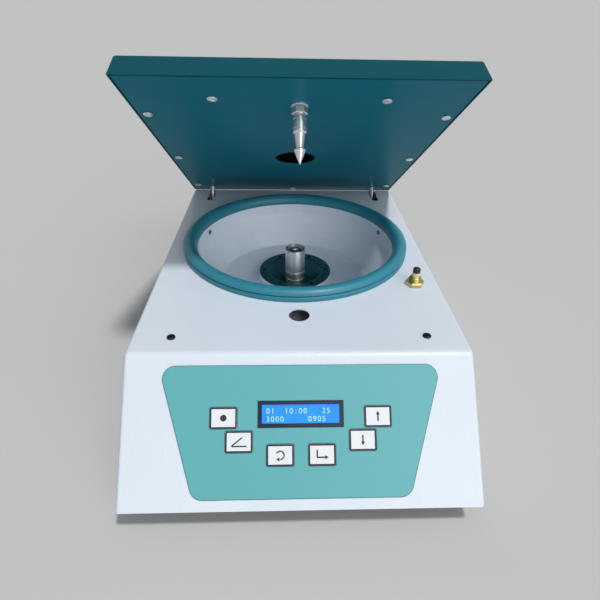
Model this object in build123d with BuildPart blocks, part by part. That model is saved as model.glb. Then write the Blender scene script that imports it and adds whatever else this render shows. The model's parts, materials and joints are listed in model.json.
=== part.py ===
from build123d import *
from math import cos, hypot, radians, sin, tan
import os

os.makedirs("parts", exist_ok=True)

# A low bench centrifuge. X is the width, +Y points to the back and +Z up, and the bench is z = 0.
# Depths named "back" are measured from the fold between the sloped front panel and the flat top.
# Depths named "down" are measured from the same fold, down the sloped front panel.

# Housing
body_width = 300.0
top_height = 120.0
front_shelf = 76.1
rear_shelf = 47.1
panel_run = 88.0
cover_bottom = 28.5
sheet = 1.2
fold_radius = 9.0
side_bend = 3.0
fit_gap = 0.3
part_gap = 0.5
cut_room = 1.0

# Base tray and feet
foot_height = 14.0
foot_radius = 14.0
foot_taper = 2.0
foot_inset_x = 34.0
foot_inset_y = 36.0
foot_pocket_gap = 1.5
foot_screw_inside = 3.6
tray_front_inset = 22.0
tray_bend = 2.0
tray_wall_above_screws = 6.0
tray_slot_count = 12
tray_slot_length = 22.0

# Front bridge under the top
bridge_back = 12.0
bridge_depth = 16.0
bridge_inset = 18.0
bridge_foot = 12.0

# Screws
screw_head_radius = 4.0
screw_head_height = 2.0
screw_head_round = 1.2
screw_shank_radius = 2.0
screw_length = 8.0
shank_gap = 0.15
nut_gap = 0.1
cover_screw_inset = 35.6
cover_screw_back = 21.5
side_screw_back = 20.0
side_screw_inset = 40.0
side_screw_rise = 4.5

# Drum
bowl_radius = 117.6
bowl_straight = 13.0
bowl_shoulder = 12.0
bowl_floor_radius = 93.5
bowl_floor_depth = 51.0
bowl_corner = 3.0
bowl_flange = 12.0
flange_bend = 0.5
collar_radius = 44.4
collar_height = 11.3
collar_draft = 1.0
collar_foot_bend = 1.0
collar_lip = 7.4
collar_lip_bend = 0.8
opening_rim_height = 9.0
rivet_angles = (20.0, 160.0, 200.0, 340.0)
rivet_depth = 6.0
rivet_radius = 1.6
rivet_head_radius = 2.8
rivet_head_height = 1.2
rivet_tail = 1.5

# Rim gasket
gasket_bowl_gap = 0.2
gasket_width = 15.6
gasket_height = 13.0
gasket_base_height = 5.8
gasket_groove = 1.0
gasket_groove_depth = 2.2
gasket_crown = 5.5
gasket_foot_chamfer = 1.0

# Motor boot
boot_sheet = 1.4
boot_bend = 3.0
boot_dish_radius = 34.0
boot_floor_radius = 20.0
boot_floor_depth = 56.4
boot_spindle_gap = 1.2
boot_hole_count = 18
boot_hole_ring = 41.9
boot_hole_radius = 1.3
boot_hole_start = 11.5
boot_screw_count = 6
boot_screw_ring = 38.6
boot_screw_head_radius = 2.2
boot_screw_head_height = 1.0

# Spindle
spindle_radius = 12.2
spindle_top_depth = 8.3
spindle_length = 50.0
spindle_chamfer = 0.8
spindle_grooves = (28.7, 38.2)
spindle_groove_width = 1.6
spindle_groove_depth = 1.2
spindle_recess_radius = 9.4
spindle_recess_depth = 4.0
spindle_end_wall = 6.0
spindle_screw_radius = 3.0
spindle_screw_head_radius = 5.2
spindle_screw_head_height = 3.0
spindle_screw_length = 16.0
spindle_screw_room = 2.0
spindle_hex_radius = 2.9
spindle_hex_floor = 0.8

# Motor
motor_radius = 58.0
motor_wall = 2.0
motor_cap_height = 6.0
motor_cap_chamfer = 2.0
motor_flange_width = 6.0
motor_flange_height = 3.0
motor_boss_radius = 17.0
motor_boss_height = 4.0
mount_height = 6.0
mount_radius = 9.0
mount_ring = 46.0
mount_stud = 2.0
shaft_radius = 6.0
shaft_gap = 0.03
shaft_cap_gap = 1.0
shaft_chamfer = 0.6
bearing_radius = 14.0
bearing_height = 5.0
core_end_gap = 4.0
stator_inner_radius = 30.0
stator_slot_count = 12
stator_slot_length = 14.0
stator_slot_width = 4.0
stator_tooth = 3.0

# Lid
lid_overhang = 1.0
lid_front_gap = 1.5
lid_height = 24.2
lid_front_slope = 17.5
lid_closed_gap = 0.4
lid_bend = 3.0
lid_open_angle = 33.9
lid_plate_gap = 0.5
lid_post_radius = 4.5
lid_screw_head_radius = 4.8
lid_screw_head_height = 1.5
lid_screw_head_taper = 20.0
lid_screw_length = 7.0
lid_front_screw_x = 76.0
lid_front_screw_inset = 41.5
lid_side_screw_inset = 10.5
lid_side_screws = (28.0, 159.0, 289.5)
lid_rear_screw = 9.5
plate_gap = 0.6
plate_front_gap = 1.6
plate_corner = 1.5

# Sight window over the spindle
plate_window_radius = 23.9
window_hole_radius = 23.0
window_radius = 20.9
window_thickness = 3.0
window_drop = 2.0
grommet_gap = 0.1
grommet_inner_radius = 18.5
grommet_outer_radius = 26.0
grommet_lip = 1.5
grommet_depth = 6.0

# Lid hinge
hinge_inset = 34.5
hinge_drop = 39.9
hinge_shaft_radius = 5.0
hinge_shaft_end = 2.2
hinge_shaft_chamfer = 0.8
hinge_bracket_inset = 16.0
hinge_bracket_sheet = 2.0
hinge_bracket_width = 22.0
hinge_bracket_flange = 13.0
hinge_bracket_drop = 12.0
hinge_bracket_gap = 0.02
arm_bracket_gap = 5.0
arm_inset = 12.0
arm_radius = 3.0
arm_hub_radius = 9.0
arm_hub_width = 15.0
arm_hub_gap = 0.05
arm_collar_radius = 4.2
arm_collar_height = 2.2
arm_nut_flats = 10.0
arm_nut_height = 4.0
arm_thread = 6.0
slot_width = 10.0
slot_front_gap = 7.5
slot_rear_gap = 1.074
spring_wire = 1.1
spring_turns = 5
spring_pitch = 3.2

# Latch pin
latch_back = 55.3
latch_hole_radius = 10.0
pin_stud_radius = 4.0
pin_stud_inside = 8.0
pin_body_radius = 6.3
pin_body_start = 9.6
pin_body_end = 24.3
pin_shoulder_step = 0.8
pin_shoulder_height = 0.6
pin_neck_radius = 3.6
pin_neck_end = 38.4
pin_head_radius = 5.3
pin_head_start = 39.4
pin_tip_radius = 0.4
pin_length = 52.3
pin_nut_flats = 13.0
pin_nut_height = 6.7
pin_washer_radius = 8.0
pin_washer_height = 1.5

# Latch below the top
latch_half_depth = 18.0
latch_half_length = 24.0
latch_foot = 8.0
slide_thickness = 2.0
slide_gap = 0.3
slide_level = 22.4
slide_travel = 8.0
slide_end_room = 2.0
slide_half_width = 13.0
slide_corner = 2.0
slide_hole_radius = 7.5
slide_slot_half = 4.4
slide_tab_height = 9.0
solenoid_length = 32.0
solenoid_size = 22.0
solenoid_corner = 1.5
solenoid_rise = 4.8
solenoid_bore_radius = 4.3
solenoid_plunger_radius = 4.0
solenoid_plunger_inside = 26.0
solenoid_gap = 4.0
solenoid_strap_length = 24.0
solenoid_strap_width = 16.0

# Lid switch
switch_inset = 25.8
switch_back = 111.0
switch_thread_radius = 6.0
switch_above = 10.0
switch_below = 13.0
switch_chamfer = 0.8
switch_bore_radius = 4.3
switch_nut_flats = 17.0
switch_nut_height = 5.0
switch_hex_height = 3.0
switch_rod_radius = 4.0
switch_rod_above = 4.6
switch_rod_inside = 12.0
switch_cap_height = 5.4
switch_cap_radius = 3.9
switch_cap_round = 1.2
switch_travel = 7.0
switch_body_gap = 0.4
switch_body_width = 20.0
switch_body_depth = 12.0
switch_body_height = 12.0
switch_body_corner = 1.0
switch_bracket_half = 9.5
switch_bracket_width = 12.0

# Control panel
overlay_top_down = 10.3
overlay_bottom_down = 118.0
overlay_top_half = 120.4
overlay_bottom_half = 89.0
overlay_corner = 11.0
overlay_thickness = 0.8
key_width = 22.2
key_height = 17.0
key_corner = 1.2
key_gap = 0.3
key_travel = 0.5
key_rest_gap = 0.1
key_thickness = 0.75
key_stem_radius = 3.0
key_hole_radius = 3.7
key_stem_end = 3.4
key_places = {
    "brake_key": (-65.0, 53.6),
    "lid_key": (-52.0, 72.8),
    "escape_key": (-18.0, 83.8),
    "enter_key": (16.5, 83.8),
    "down_key": (50.6, 72.4),
    "up_key": (63.8, 53.5),
}

# Display
display_x = -0.8
display_down = 51.0
display_width = 71.4
display_height = 21.6
display_view_width = 65.0
display_view_height = 15.4
display_proud = 0.2
display_pocket = 4.0
display_cell = 3.4
display_cell_gap = 0.1

# Boards
board_depth = 9.6
board_thickness = 1.6
board_corner = 2.0
front_board_width = 168.0
front_board_height = 64.0
front_board_down = 66.0
front_spacer_inset = 4.0
spacer_radius = 3.0
tact_size = 6.0
tact_height = 3.5
tact_button_radius = 1.7
tact_button_height = 2.0
control_board_width = 180.0
control_board_depth = 110.0
control_board_back = 20.0
tray_spacer_inset = 5.0
tray_spacer_height = 6.0
transformer_size = (42.0, 36.0, 30.0)
transformer_inset = (32.0, 33.0)
capacitor_radius = 9.0
capacitor_height = 26.0
capacitor_pitch = 22.0
capacitor_count = 3
capacitor_x = 14.0
capacitor_inset = 25.0
heat_sink_inset = (20.0, 35.0)
heat_sink_height = 24.0
heat_sink_web = (26.0, 4.0)
heat_sink_fin = (2.0, 40.0)
heat_sink_fin_pitch = 6.0
heat_sink_fin_count = 5

# Rear panel
rear_window_inset = 24.0
rear_window_rise = 13.5
rear_window_drop = 16.0
rear_overlap = 10.0
rear_screw_length = 5.0
rear_row_rise = 18.0
vent_inset = 74.0
vent_count = 11
vent_pitch = 8.0
vent_width = 3.0
vent_length = 34.0

# Mains inlet
inlet_inset = 34.0
inlet_flange_width = 50.0
inlet_flange_height = 24.0
inlet_flange_thickness = 2.5
inlet_flange_corner = 3.0
inlet_body_width = 36.0
inlet_body_height = 21.0
inlet_body_corner = 2.0
inlet_depth = 22.0
inlet_mouth_width = 24.0
inlet_mouth_height = 16.5
inlet_mouth_corner = 3.0
inlet_mouth_depth = 17.0
inlet_pin_width = 2.0
inlet_pin_height = 4.0
inlet_pin_length = 11.0
inlet_pin_x = 7.0
inlet_pin_rise = 2.0

# Rocker switch
rocker_from_inlet = 50.0
rocker_flange_width = 24.0
rocker_flange_height = 32.0
rocker_flange_thickness = 2.0
rocker_flange_corner = 2.0
rocker_body_width = 20.0
rocker_body_height = 27.0
rocker_depth = 20.0
rocker_mouth_width = 16.0
rocker_mouth_height = 24.0
rocker_mouth_depth = 16.0
rocker_axis_depth = 3.0
rocker_end_gap = 0.5
rocker_front = 3.0
rocker_crown = 6.0
rocker_behind = 2.0
rocker_tilt = 10.0

# Sizes and depths that follow from the ones above
gasket_inner = bowl_radius + gasket_bowl_gap
gasket_outer = gasket_inner + gasket_width
spindle_back = front_shelf + gasket_outer
top_length = spindle_back + gasket_outer + rear_shelf
hinge_back = top_length - hinge_inset
panel_drop = top_height - cover_bottom
side_screw_height = cover_bottom + side_screw_rise
tray_wall_height = side_screw_height + tray_wall_above_screws - foot_height
lid_width = body_width + 2 * lid_overhang
lid_length = hinge_back + arm_inset - lid_front_gap
key_lift = key_travel + key_rest_gap

# Places worked out from the sizes. The origin is below the middle of the outer box, which runs
# from the panel's lower edge to the open lid's rear top bend.
open_angle = radians(lid_open_angle)
lid_rise = hinge_drop + gasket_height + lid_closed_gap
rear_bend_y = arm_inset - lid_bend
rear_bend_z = lid_rise + lid_height - lid_bend
lid_rear_reach = rear_bend_y * cos(open_angle) + rear_bend_z * sin(open_angle) + lid_bend
fold_y = -(hinge_back + lid_rear_reach - panel_run) / 2
front_y = fold_y - panel_run
rear_y = fold_y + top_length
spindle_y = fold_y + spindle_back
hinge_y = fold_y + hinge_back
hinge_z = top_height - hinge_drop
latch_y = fold_y + latch_back
switch_x = body_width / 2 - switch_inset
switch_y = fold_y + switch_back
tray_top = foot_height + sheet
under_top = top_height - sheet
panel_length = hypot(panel_run, panel_drop)
inner_half = body_width / 2 - sheet
bridge_half_width = body_width / 2 - bridge_inset
hinge_bracket_x = body_width / 2 - hinge_bracket_inset
arm_x = hinge_bracket_x - arm_bracket_gap - arm_hub_width / 2
arm_swing = hinge_drop * tan(open_angle) + arm_radius / cos(open_angle)
slot_front_back = hinge_back - arm_radius - slot_front_gap
slot_rear_back = hinge_back + arm_swing + slot_rear_gap

# Planes that the pieces are drawn on
panel = Plane(
    origin=(0, fold_y, top_height),
    x_dir=(1, 0, 0),
    z_dir=(0, -panel_drop / panel_length, panel_run / panel_length),
)
hinge_plane = Plane(
    origin=(0, hinge_y, hinge_z),
    x_dir=(1, 0, 0),
    z_dir=(0, sin(open_angle), cos(open_angle)),
)
lid_under = hinge_plane.offset(lid_rise)
lid_axis = Axis(lid_under.origin, lid_under.z_dir)
lid_section = Plane(origin=lid_under.origin, x_dir=lid_under.y_dir, z_dir=(1, 0, 0))
spindle_section = Plane(origin=(0, spindle_y, 0), x_dir=(1, 0, 0), z_dir=(0, -1, 0))
spindle_axis = Axis((0, spindle_y, 0), (0, 0, 1))
body_section = Plane.YZ
top_face = Plane.XY.offset(top_height)
rear_face = Plane(origin=(0, rear_y, 0), x_dir=(-1, 0, 0), z_dir=(0, 1, 0))


def save(piece, name):
    """Name one finished piece and write it to its own file."""
    piece.part.label = name
    export_step(piece.part, f"parts/{name}.step")


def both_sides(x, *ys):
    """Places at +x and -x for each depth."""
    return [(side * x, y) for side in (1, -1) for y in ys]


def back(distance):
    """Depth of a place that is given from the fold."""
    return fold_y + distance


# Places of the fasteners
top_screw_places = both_sides(body_width / 2 - cover_screw_inset, back(cover_screw_back))
side_screw_ys = [back(side_screw_back), back(top_length - side_screw_inset)]
lid_screw_places = both_sides(lid_front_screw_x, lid_front_screw_inset + arm_inset - lid_length)
lid_screw_places += both_sides(lid_width / 2 - lid_side_screw_inset,
                               *(arm_inset - from_rear for from_rear in lid_side_screws))
lid_screw_places += [(0, arm_inset - lid_rear_screw)]
arm_places = both_sides(arm_x, 0)
foot_places = both_sides(body_width / 2 - foot_inset_x, front_y + tray_front_inset + foot_inset_y,
                         rear_y - foot_inset_y)
mount_places = PolarLocations(mount_ring, 4, start_angle=45)
rear_window_half = body_width / 2 - rear_window_inset
rear_window_bottom = cover_bottom + rear_window_rise
rear_window_top = top_height - rear_window_drop
rear_half = rear_window_half + rear_overlap
rear_screw_x = rear_window_half + rear_overlap / 2
rear_middle = (rear_window_bottom + rear_window_top) / 2
rear_row_height = rear_window_bottom + rear_row_rise
inlet_x = inlet_inset - rear_window_half
rocker_x = inlet_x + rocker_from_inlet
vent_centre_x = rear_window_half - vent_inset
rear_height = rear_window_top - rear_window_bottom + 2 * rear_overlap
rear_screw_places = both_sides(rear_screw_x, rear_window_bottom, rear_middle, rear_window_top)
spacer_x = front_board_width / 2 - front_spacer_inset
spacer_down = front_board_height / 2 - front_spacer_inset
spacer_places = both_sides(spacer_x, -front_board_down + spacer_down, -front_board_down - spacer_down)
slot_middle = back((slot_front_back + slot_rear_back) / 2)
slot_length = slot_rear_back - slot_front_back
opening_radius = bowl_radius + sheet + fit_gap
rivet_height = top_height - rivet_depth


def rivet_planes():
    """Planes on the drum wall that look at the spindle axis, one for each rivet."""
    planes = []
    for angle in rivet_angles:
        out = (cos(radians(angle)), sin(radians(angle)))
        centre = (bowl_radius * out[0], spindle_y + bowl_radius * out[1], rivet_height)
        planes.append(Plane(origin=centre, z_dir=(-out[0], -out[1], 0)))
    return planes


def overlay_outline():
    """Trapezoid of the control foil, wider at the top, with rounded corners."""
    with BuildLine() as line:
        FilletPolyline(
            (-overlay_top_half, -overlay_top_down),
            (overlay_top_half, -overlay_top_down),
            (overlay_bottom_half, -overlay_bottom_down),
            (-overlay_bottom_half, -overlay_bottom_down),
            radius=overlay_corner,
            close=True,
        )
    return line.line


# Housing cover: one folded sheet with a sloped front, a flat top, two sides and a rear lip
with BuildPart() as housing_cover:
    with BuildSketch(body_section):
        with BuildLine():
            Polyline(
                (front_y, cover_bottom),
                (fold_y, top_height),
                (rear_y, top_height),
                (rear_y, cover_bottom),
                close=True,
            )
        make_face()
    extrude(amount=body_width / 2, both=True)
    fold_edge = housing_cover.edges().filter_by(Axis.X).sort_by_distance((0, fold_y, top_height))[0]
    fillet(fold_edge, fold_radius)
    rear_edge = housing_cover.edges().filter_by(Axis.X).sort_by_distance((0, rear_y, top_height))[0]
    side_edges = housing_cover.edges().filter_by(
        lambda e: e.center().Z > cover_bottom + 1 and abs(abs(e.center().X) - body_width / 2) < 1)
    fillet(side_edges + [rear_edge], side_bend)
    floor_face = housing_cover.faces().sort_by(Axis.Z)[0]
    offset(amount=-sheet, openings=floor_face)
    # The drum opening has a rim turned down, which the drum's wall is riveted to
    with BuildSketch(Plane.XY.offset(top_height - sheet - opening_rim_height)):
        with Locations((0, spindle_y)):
            Circle(opening_radius + sheet)
    extrude(amount=opening_rim_height + sheet / 2)
    with BuildSketch(top_face):
        with Locations((0, spindle_y)):
            Circle(opening_radius)
        with Locations((0, latch_y)):
            Circle(latch_hole_radius)
        with Locations((switch_x, switch_y)):
            Circle(switch_thread_radius + shank_gap)
        with Locations(*top_screw_places):
            Circle(screw_shank_radius + shank_gap)
        with Locations(*both_sides(arm_x, slot_middle)):
            SlotOverall(slot_length, slot_width, rotation=90)
    extrude(amount=-sheet - opening_rim_height, mode=Mode.SUBTRACT)
    with BuildSketch(panel):
        with Locations((display_x, -display_down)):
            Rectangle(display_width + 2 * fit_gap, display_height + 2 * fit_gap)
        with Locations(*((x, -down) for x, down in key_places.values())):
            Circle(key_hole_radius)
    extrude(amount=-3 * sheet, mode=Mode.SUBTRACT)
    for plane in rivet_planes():
        with BuildSketch(plane.offset(cut_room)):
            Circle(rivet_radius + shank_gap)
        extrude(amount=-cut_room - 4 * sheet, mode=Mode.SUBTRACT)
    with BuildSketch(Plane.YZ.offset(-body_width / 2)):
        with Locations(*((y, side_screw_height) for y in side_screw_ys)):
            Circle(screw_shank_radius + shank_gap)
    extrude(amount=body_width, mode=Mode.SUBTRACT)
    with BuildSketch(rear_face):
        with Locations((0, rear_middle)):
            RectangleRounded(2 * rear_window_half, rear_window_top - rear_window_bottom, side_bend)
        with Locations(*rear_screw_places):
            Circle(screw_shank_radius + shank_gap)
    extrude(amount=-3 * sheet, mode=Mode.SUBTRACT)
save(housing_cover, "housing_cover")

# Base tray: a shallow pan inside the cover, with cooling slots under the motor
tray_front = front_y + tray_front_inset
tray_rear = rear_y - sheet - part_gap
tray_width = 2 * (inner_half - part_gap)
with BuildPart() as base_tray:
    with BuildSketch(Plane.XY.offset(foot_height)):
        with Locations((0, (tray_front + tray_rear) / 2)):
            RectangleRounded(tray_width, tray_rear - tray_front, side_bend)
    extrude(amount=tray_wall_height)
    fillet(base_tray.faces().sort_by(Axis.Z)[0].edges(), tray_bend)
    tray_mouth = base_tray.faces().sort_by(Axis.Z)[-1]
    offset(amount=-sheet, openings=tray_mouth)
    with BuildSketch(Plane.XY.offset(foot_height)):
        with Locations((0, spindle_y)):
            with PolarLocations(motor_radius / 2, tray_slot_count):
                SlotOverall(tray_slot_length, vent_width)
            with mount_places:
                Circle(screw_shank_radius + shank_gap)
        with Locations(*foot_places):
            Circle(screw_shank_radius + shank_gap)
    extrude(amount=2 * sheet, mode=Mode.SUBTRACT)
    with BuildSketch(Plane.YZ.offset(-body_width / 2)):
        with Locations(*((y, side_screw_height) for y in side_screw_ys)):
            Circle(screw_shank_radius + shank_gap)
    extrude(amount=body_width, mode=Mode.SUBTRACT)
save(base_tray, "base_tray")

# Rubber feet, each with a pocket for its screw
foot_pocket_radius = screw_head_radius + foot_pocket_gap
foot_pocket_depth = foot_height / 2
with BuildPart() as rubber_feet:
    with Locations(*foot_places):
        Cone(foot_radius - foot_taper, foot_radius, foot_height,
             align=(Align.CENTER, Align.CENTER, Align.MIN))
    with Locations(*foot_places):
        Cylinder(foot_pocket_radius, foot_pocket_depth, mode=Mode.SUBTRACT,
                 align=(Align.CENTER, Align.CENTER, Align.MIN))
        Cylinder(screw_shank_radius + shank_gap, foot_height, mode=Mode.SUBTRACT,
                 align=(Align.CENTER, Align.CENTER, Align.MIN))
save(rubber_feet, "rubber_feet")

with BuildPart() as foot_screws:
    with BuildSketch(Plane.XY.offset(foot_pocket_depth)):
        with Locations(*foot_places):
            Circle(screw_head_radius)
    extrude(amount=-screw_head_height)
    with BuildSketch(Plane.XY.offset(foot_pocket_depth)):
        with Locations(*foot_places):
            Circle(screw_shank_radius)
    extrude(amount=foot_height - foot_pocket_depth + foot_screw_inside)
save(foot_screws, "foot_screws")

# Cover screws: two on the top and two on each side, with domed heads and cross slots
with BuildPart() as cover_screws:
    head_planes = [top_face] + [
        Plane(origin=(side * body_width / 2, 0, 0), x_dir=(0, 1, 0), z_dir=(side, 0, 0))
        for side in (1, -1)
    ]
    for index, plane in enumerate(head_planes):
        places = top_screw_places if index == 0 else [
            tuple(plane.to_local_coords(Vector(plane.origin.X, y, side_screw_height)))[:2]
            for y in side_screw_ys
        ]
        with BuildSketch(plane):
            with Locations(*places):
                Circle(screw_head_radius)
        extrude(amount=screw_head_height)
        with BuildSketch(plane):
            with Locations(*places):
                Circle(screw_shank_radius)
        extrude(amount=-screw_length)
    fillet(cover_screws.edges().filter_by(GeomType.CIRCLE).filter_by(
        lambda e: e.radius == screw_head_radius and (
            e.center().Z > top_height + 1 or abs(e.center().X) > body_width / 2 + 1)),
        screw_head_round)
save(cover_screws, "cover_screws")

# Front bridge: a folded sheet strap that carries the front of the top
bridge_y = back(bridge_back + bridge_depth / 2)
with BuildPart() as front_bridge:
    with BuildSketch(Plane.XZ.offset(-bridge_y)):
        with BuildLine():
            FilletPolyline(
                (-bridge_half_width - bridge_foot, tray_top),
                (-bridge_half_width, tray_top),
                (-bridge_half_width, under_top - sheet),
                (bridge_half_width, under_top - sheet),
                (bridge_half_width, tray_top),
                (bridge_half_width + bridge_foot, tray_top),
                radius=tray_bend,
            )
            offset(amount=sheet, side=Side.LEFT)
        make_face()
    extrude(amount=bridge_depth / 2, both=True)
    with BuildSketch(top_face):
        with Locations(*top_screw_places):
            Circle(screw_shank_radius + shank_gap)
    extrude(amount=-3 * sheet, mode=Mode.SUBTRACT)
save(front_bridge, "front_bridge")

# Rear panel with cooling slots and the cut-outs for the mains inlet and the rocker switch
with BuildPart() as rear_panel:
    with BuildSketch(rear_face):
        with Locations((0, rear_middle)):
            RectangleRounded(2 * rear_half, rear_height, side_bend)
        with Locations(*rear_screw_places):
            Circle(screw_shank_radius + shank_gap, mode=Mode.SUBTRACT)
        with Locations((-inlet_x, rear_row_height)):
            RectangleRounded(inlet_body_width, inlet_body_height, inlet_body_corner, mode=Mode.SUBTRACT)
        with Locations((-rocker_x, rear_row_height)):
            Rectangle(rocker_body_width, rocker_body_height, mode=Mode.SUBTRACT)
        with Locations((-vent_centre_x, rear_middle)):
            with GridLocations(vent_pitch, 0, vent_count, 1):
                SlotOverall(vent_length, vent_width, rotation=90, mode=Mode.SUBTRACT)
    extrude(amount=sheet)
save(rear_panel, "rear_panel")

rear_outer = rear_face.offset(sheet)
with BuildPart() as rear_panel_screws:
    with BuildSketch(rear_outer):
        with Locations(*rear_screw_places):
            Circle(screw_head_radius)
    extrude(amount=screw_head_height)
    with BuildSketch(rear_outer):
        with Locations(*rear_screw_places):
            Circle(screw_shank_radius)
    extrude(amount=-rear_screw_length)
    fillet(rear_panel_screws.faces().group_by(Axis.Y)[-1].edges(), screw_head_round)
save(rear_panel_screws, "rear_panel_screws")

# Chamber bowl: a spun drum that hangs by its flange and has a raised collar round the motor
bowl_floor_height = top_height - bowl_floor_depth
collar_top = bowl_floor_height + collar_height
flange_top = top_height + sheet
with BuildPart() as chamber_bowl:
    with BuildSketch(spindle_section):
        with BuildLine():
            FilletPolyline(
                (bowl_radius + bowl_flange, flange_top),
                (bowl_radius, flange_top),
                (bowl_radius, top_height - bowl_straight),
                (bowl_floor_radius, bowl_floor_height),
                (collar_radius + collar_draft, bowl_floor_height),
                (collar_radius, collar_top),
                (collar_radius - collar_lip, collar_top),
                radius=(flange_bend, bowl_shoulder, bowl_corner, collar_foot_bend, collar_lip_bend),
            )
            offset(amount=sheet, side=Side.LEFT)
        make_face()
    revolve(axis=spindle_axis)
    for plane in rivet_planes():
        with BuildSketch(plane.offset(cut_room)):
            Circle(rivet_radius + shank_gap)
        extrude(amount=-cut_room - 2 * sheet, mode=Mode.SUBTRACT)
    with BuildSketch(Plane.XY.offset(collar_top)):
        with Locations((0, spindle_y)):
            with PolarLocations(boot_screw_ring, boot_screw_count):
                Circle(boot_hole_radius + shank_gap)
    extrude(amount=-2 * sheet, mode=Mode.SUBTRACT)
save(chamber_bowl, "chamber_bowl")

with BuildPart() as bowl_rivets:
    for plane in rivet_planes():
        with BuildSketch(plane.offset(fit_gap)):
            Circle(rivet_head_radius)
        extrude(amount=rivet_head_height)
        with BuildSketch(plane.offset(fit_gap)):
            Circle(rivet_radius)
        extrude(amount=-2 * sheet - 2 * fit_gap - rivet_tail)
save(bowl_rivets, "bowl_rivets")

# Rim gasket: a rubber ring with a base, a groove and a rounded roll that the lid closes on
gasket_mid = (gasket_outer + gasket_inner) / 2
groove_bottom = top_height + gasket_base_height
groove_top = groove_bottom + gasket_groove
gasket_top = top_height + gasket_height
with BuildPart() as rim_gasket:
    with BuildSketch(spindle_section):
        with BuildLine():
            seat = Polyline(
                (gasket_inner, gasket_top - gasket_crown),
                (gasket_inner, flange_top),
                (bowl_radius + bowl_flange + fit_gap, flange_top),
                (bowl_radius + bowl_flange + fit_gap, top_height),
                (gasket_outer - gasket_foot_chamfer, top_height),
                (gasket_outer, top_height + gasket_foot_chamfer),
                (gasket_outer, groove_bottom),
                (gasket_outer - gasket_groove_depth, groove_bottom),
                (gasket_outer - gasket_groove_depth, groove_top),
                (gasket_outer, groove_top),
            )
            ThreePointArc(seat @ 1, (gasket_mid, gasket_top), seat @ 0)
        make_face()
    revolve(axis=spindle_axis)
save(rim_gasket, "rim_gasket")

# Motor boot: a dished disc that closes the collar, with small holes round its rim
boot_top = collar_top + boot_sheet
boot_floor_height = top_height - boot_floor_depth
with BuildPart() as motor_boot:
    with BuildSketch(spindle_section):
        with BuildLine():
            FilletPolyline(
                (collar_radius + fit_gap, boot_top),
                (boot_dish_radius, boot_top),
                (boot_floor_radius, boot_floor_height),
                (spindle_radius + boot_spindle_gap, boot_floor_height),
                radius=boot_bend,
            )
            offset(amount=boot_sheet, side=Side.LEFT)
        make_face()
    revolve(axis=spindle_axis)
    with BuildSketch(Plane.XY.offset(boot_top)):
        with Locations((0, spindle_y)):
            with PolarLocations(boot_hole_ring, boot_hole_count, start_angle=boot_hole_start):
                Circle(boot_hole_radius)
            with PolarLocations(boot_screw_ring, boot_screw_count):
                Circle(boot_hole_radius + shank_gap)
    extrude(amount=-boot_sheet, mode=Mode.SUBTRACT)
save(motor_boot, "motor_boot")

with BuildPart() as boot_screws:
    with BuildSketch(Plane.XY.offset(boot_top)):
        with Locations((0, spindle_y)):
            with PolarLocations(boot_screw_ring, boot_screw_count):
                Circle(boot_screw_head_radius)
    extrude(amount=boot_screw_head_height)
    with BuildSketch(Plane.XY.offset(boot_top)):
        with Locations((0, spindle_y)):
            with PolarLocations(boot_screw_ring, boot_screw_count):
                Circle(boot_hole_radius)
    extrude(amount=-boot_sheet - 2 * sheet)
save(boot_screws, "boot_screws")

# Motor, standing on rubber mounts on the tray. Its can is as tall as the space below the spindle.
spindle_top = top_height - spindle_top_depth
spindle_base = spindle_top - spindle_length
boss_top = spindle_base - part_gap
cap_top = boss_top - motor_boss_height
can_top = cap_top - motor_cap_height
motor_base = tray_top + mount_height
can_base = motor_base + motor_cap_height
motor_can_height = can_top - can_base
with BuildPart() as motor_mounts:
    with BuildSketch(Plane.XY.offset(tray_top)):
        with Locations((0, spindle_y)):
            with mount_places:
                Circle(mount_radius)
    extrude(amount=mount_height)
    with BuildSketch(Plane.XY.offset(tray_top)):
        with Locations((0, spindle_y)):
            with mount_places:
                Circle(screw_shank_radius)
    extrude(amount=-sheet - mount_stud)
save(motor_mounts, "motor_mounts")

with BuildPart() as motor_base_cap:
    with BuildSketch(spindle_section):
        with BuildLine():
            Polyline(
                (shaft_radius + shaft_cap_gap, motor_base),
                (motor_radius + motor_flange_width, motor_base),
                (motor_radius + motor_flange_width, motor_base + motor_flange_height),
                (motor_radius, motor_base + motor_flange_height),
                (motor_radius, can_base),
                (bearing_radius, can_base),
                (bearing_radius, can_base - bearing_height),
                (shaft_radius + shaft_cap_gap, can_base - bearing_height),
                close=True,
            )
        make_face()
    revolve(axis=spindle_axis)
save(motor_base_cap, "motor_base_cap")

with BuildPart() as motor_can:
    with BuildSketch(Plane.XY.offset(can_base)):
        with Locations((0, spindle_y)):
            Circle(motor_radius)
            Circle(motor_radius - motor_wall, mode=Mode.SUBTRACT)
    extrude(amount=motor_can_height)
save(motor_can, "motor_can")

with BuildPart() as motor_top_cap:
    with BuildSketch(spindle_section):
        with BuildLine():
            Polyline(
                (bearing_radius, can_top),
                (motor_radius, can_top),
                (motor_radius, cap_top - motor_cap_chamfer),
                (motor_radius - motor_cap_chamfer, cap_top),
                (motor_boss_radius, cap_top),
                (motor_boss_radius, boss_top),
                (shaft_radius + shaft_cap_gap, boss_top),
                (shaft_radius + shaft_cap_gap, can_top + bearing_height),
                (bearing_radius, can_top + bearing_height),
                close=True,
            )
        make_face()
    revolve(axis=spindle_axis)
save(motor_top_cap, "motor_top_cap")

with BuildPart() as motor_bearings:
    for level in (can_base - bearing_height, can_top):
        with BuildSketch(Plane.XY.offset(level)):
            with Locations((0, spindle_y)):
                Circle(bearing_radius)
                Circle(shaft_radius + shaft_gap, mode=Mode.SUBTRACT)
        extrude(amount=bearing_height)
save(motor_bearings, "motor_bearings")

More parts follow.
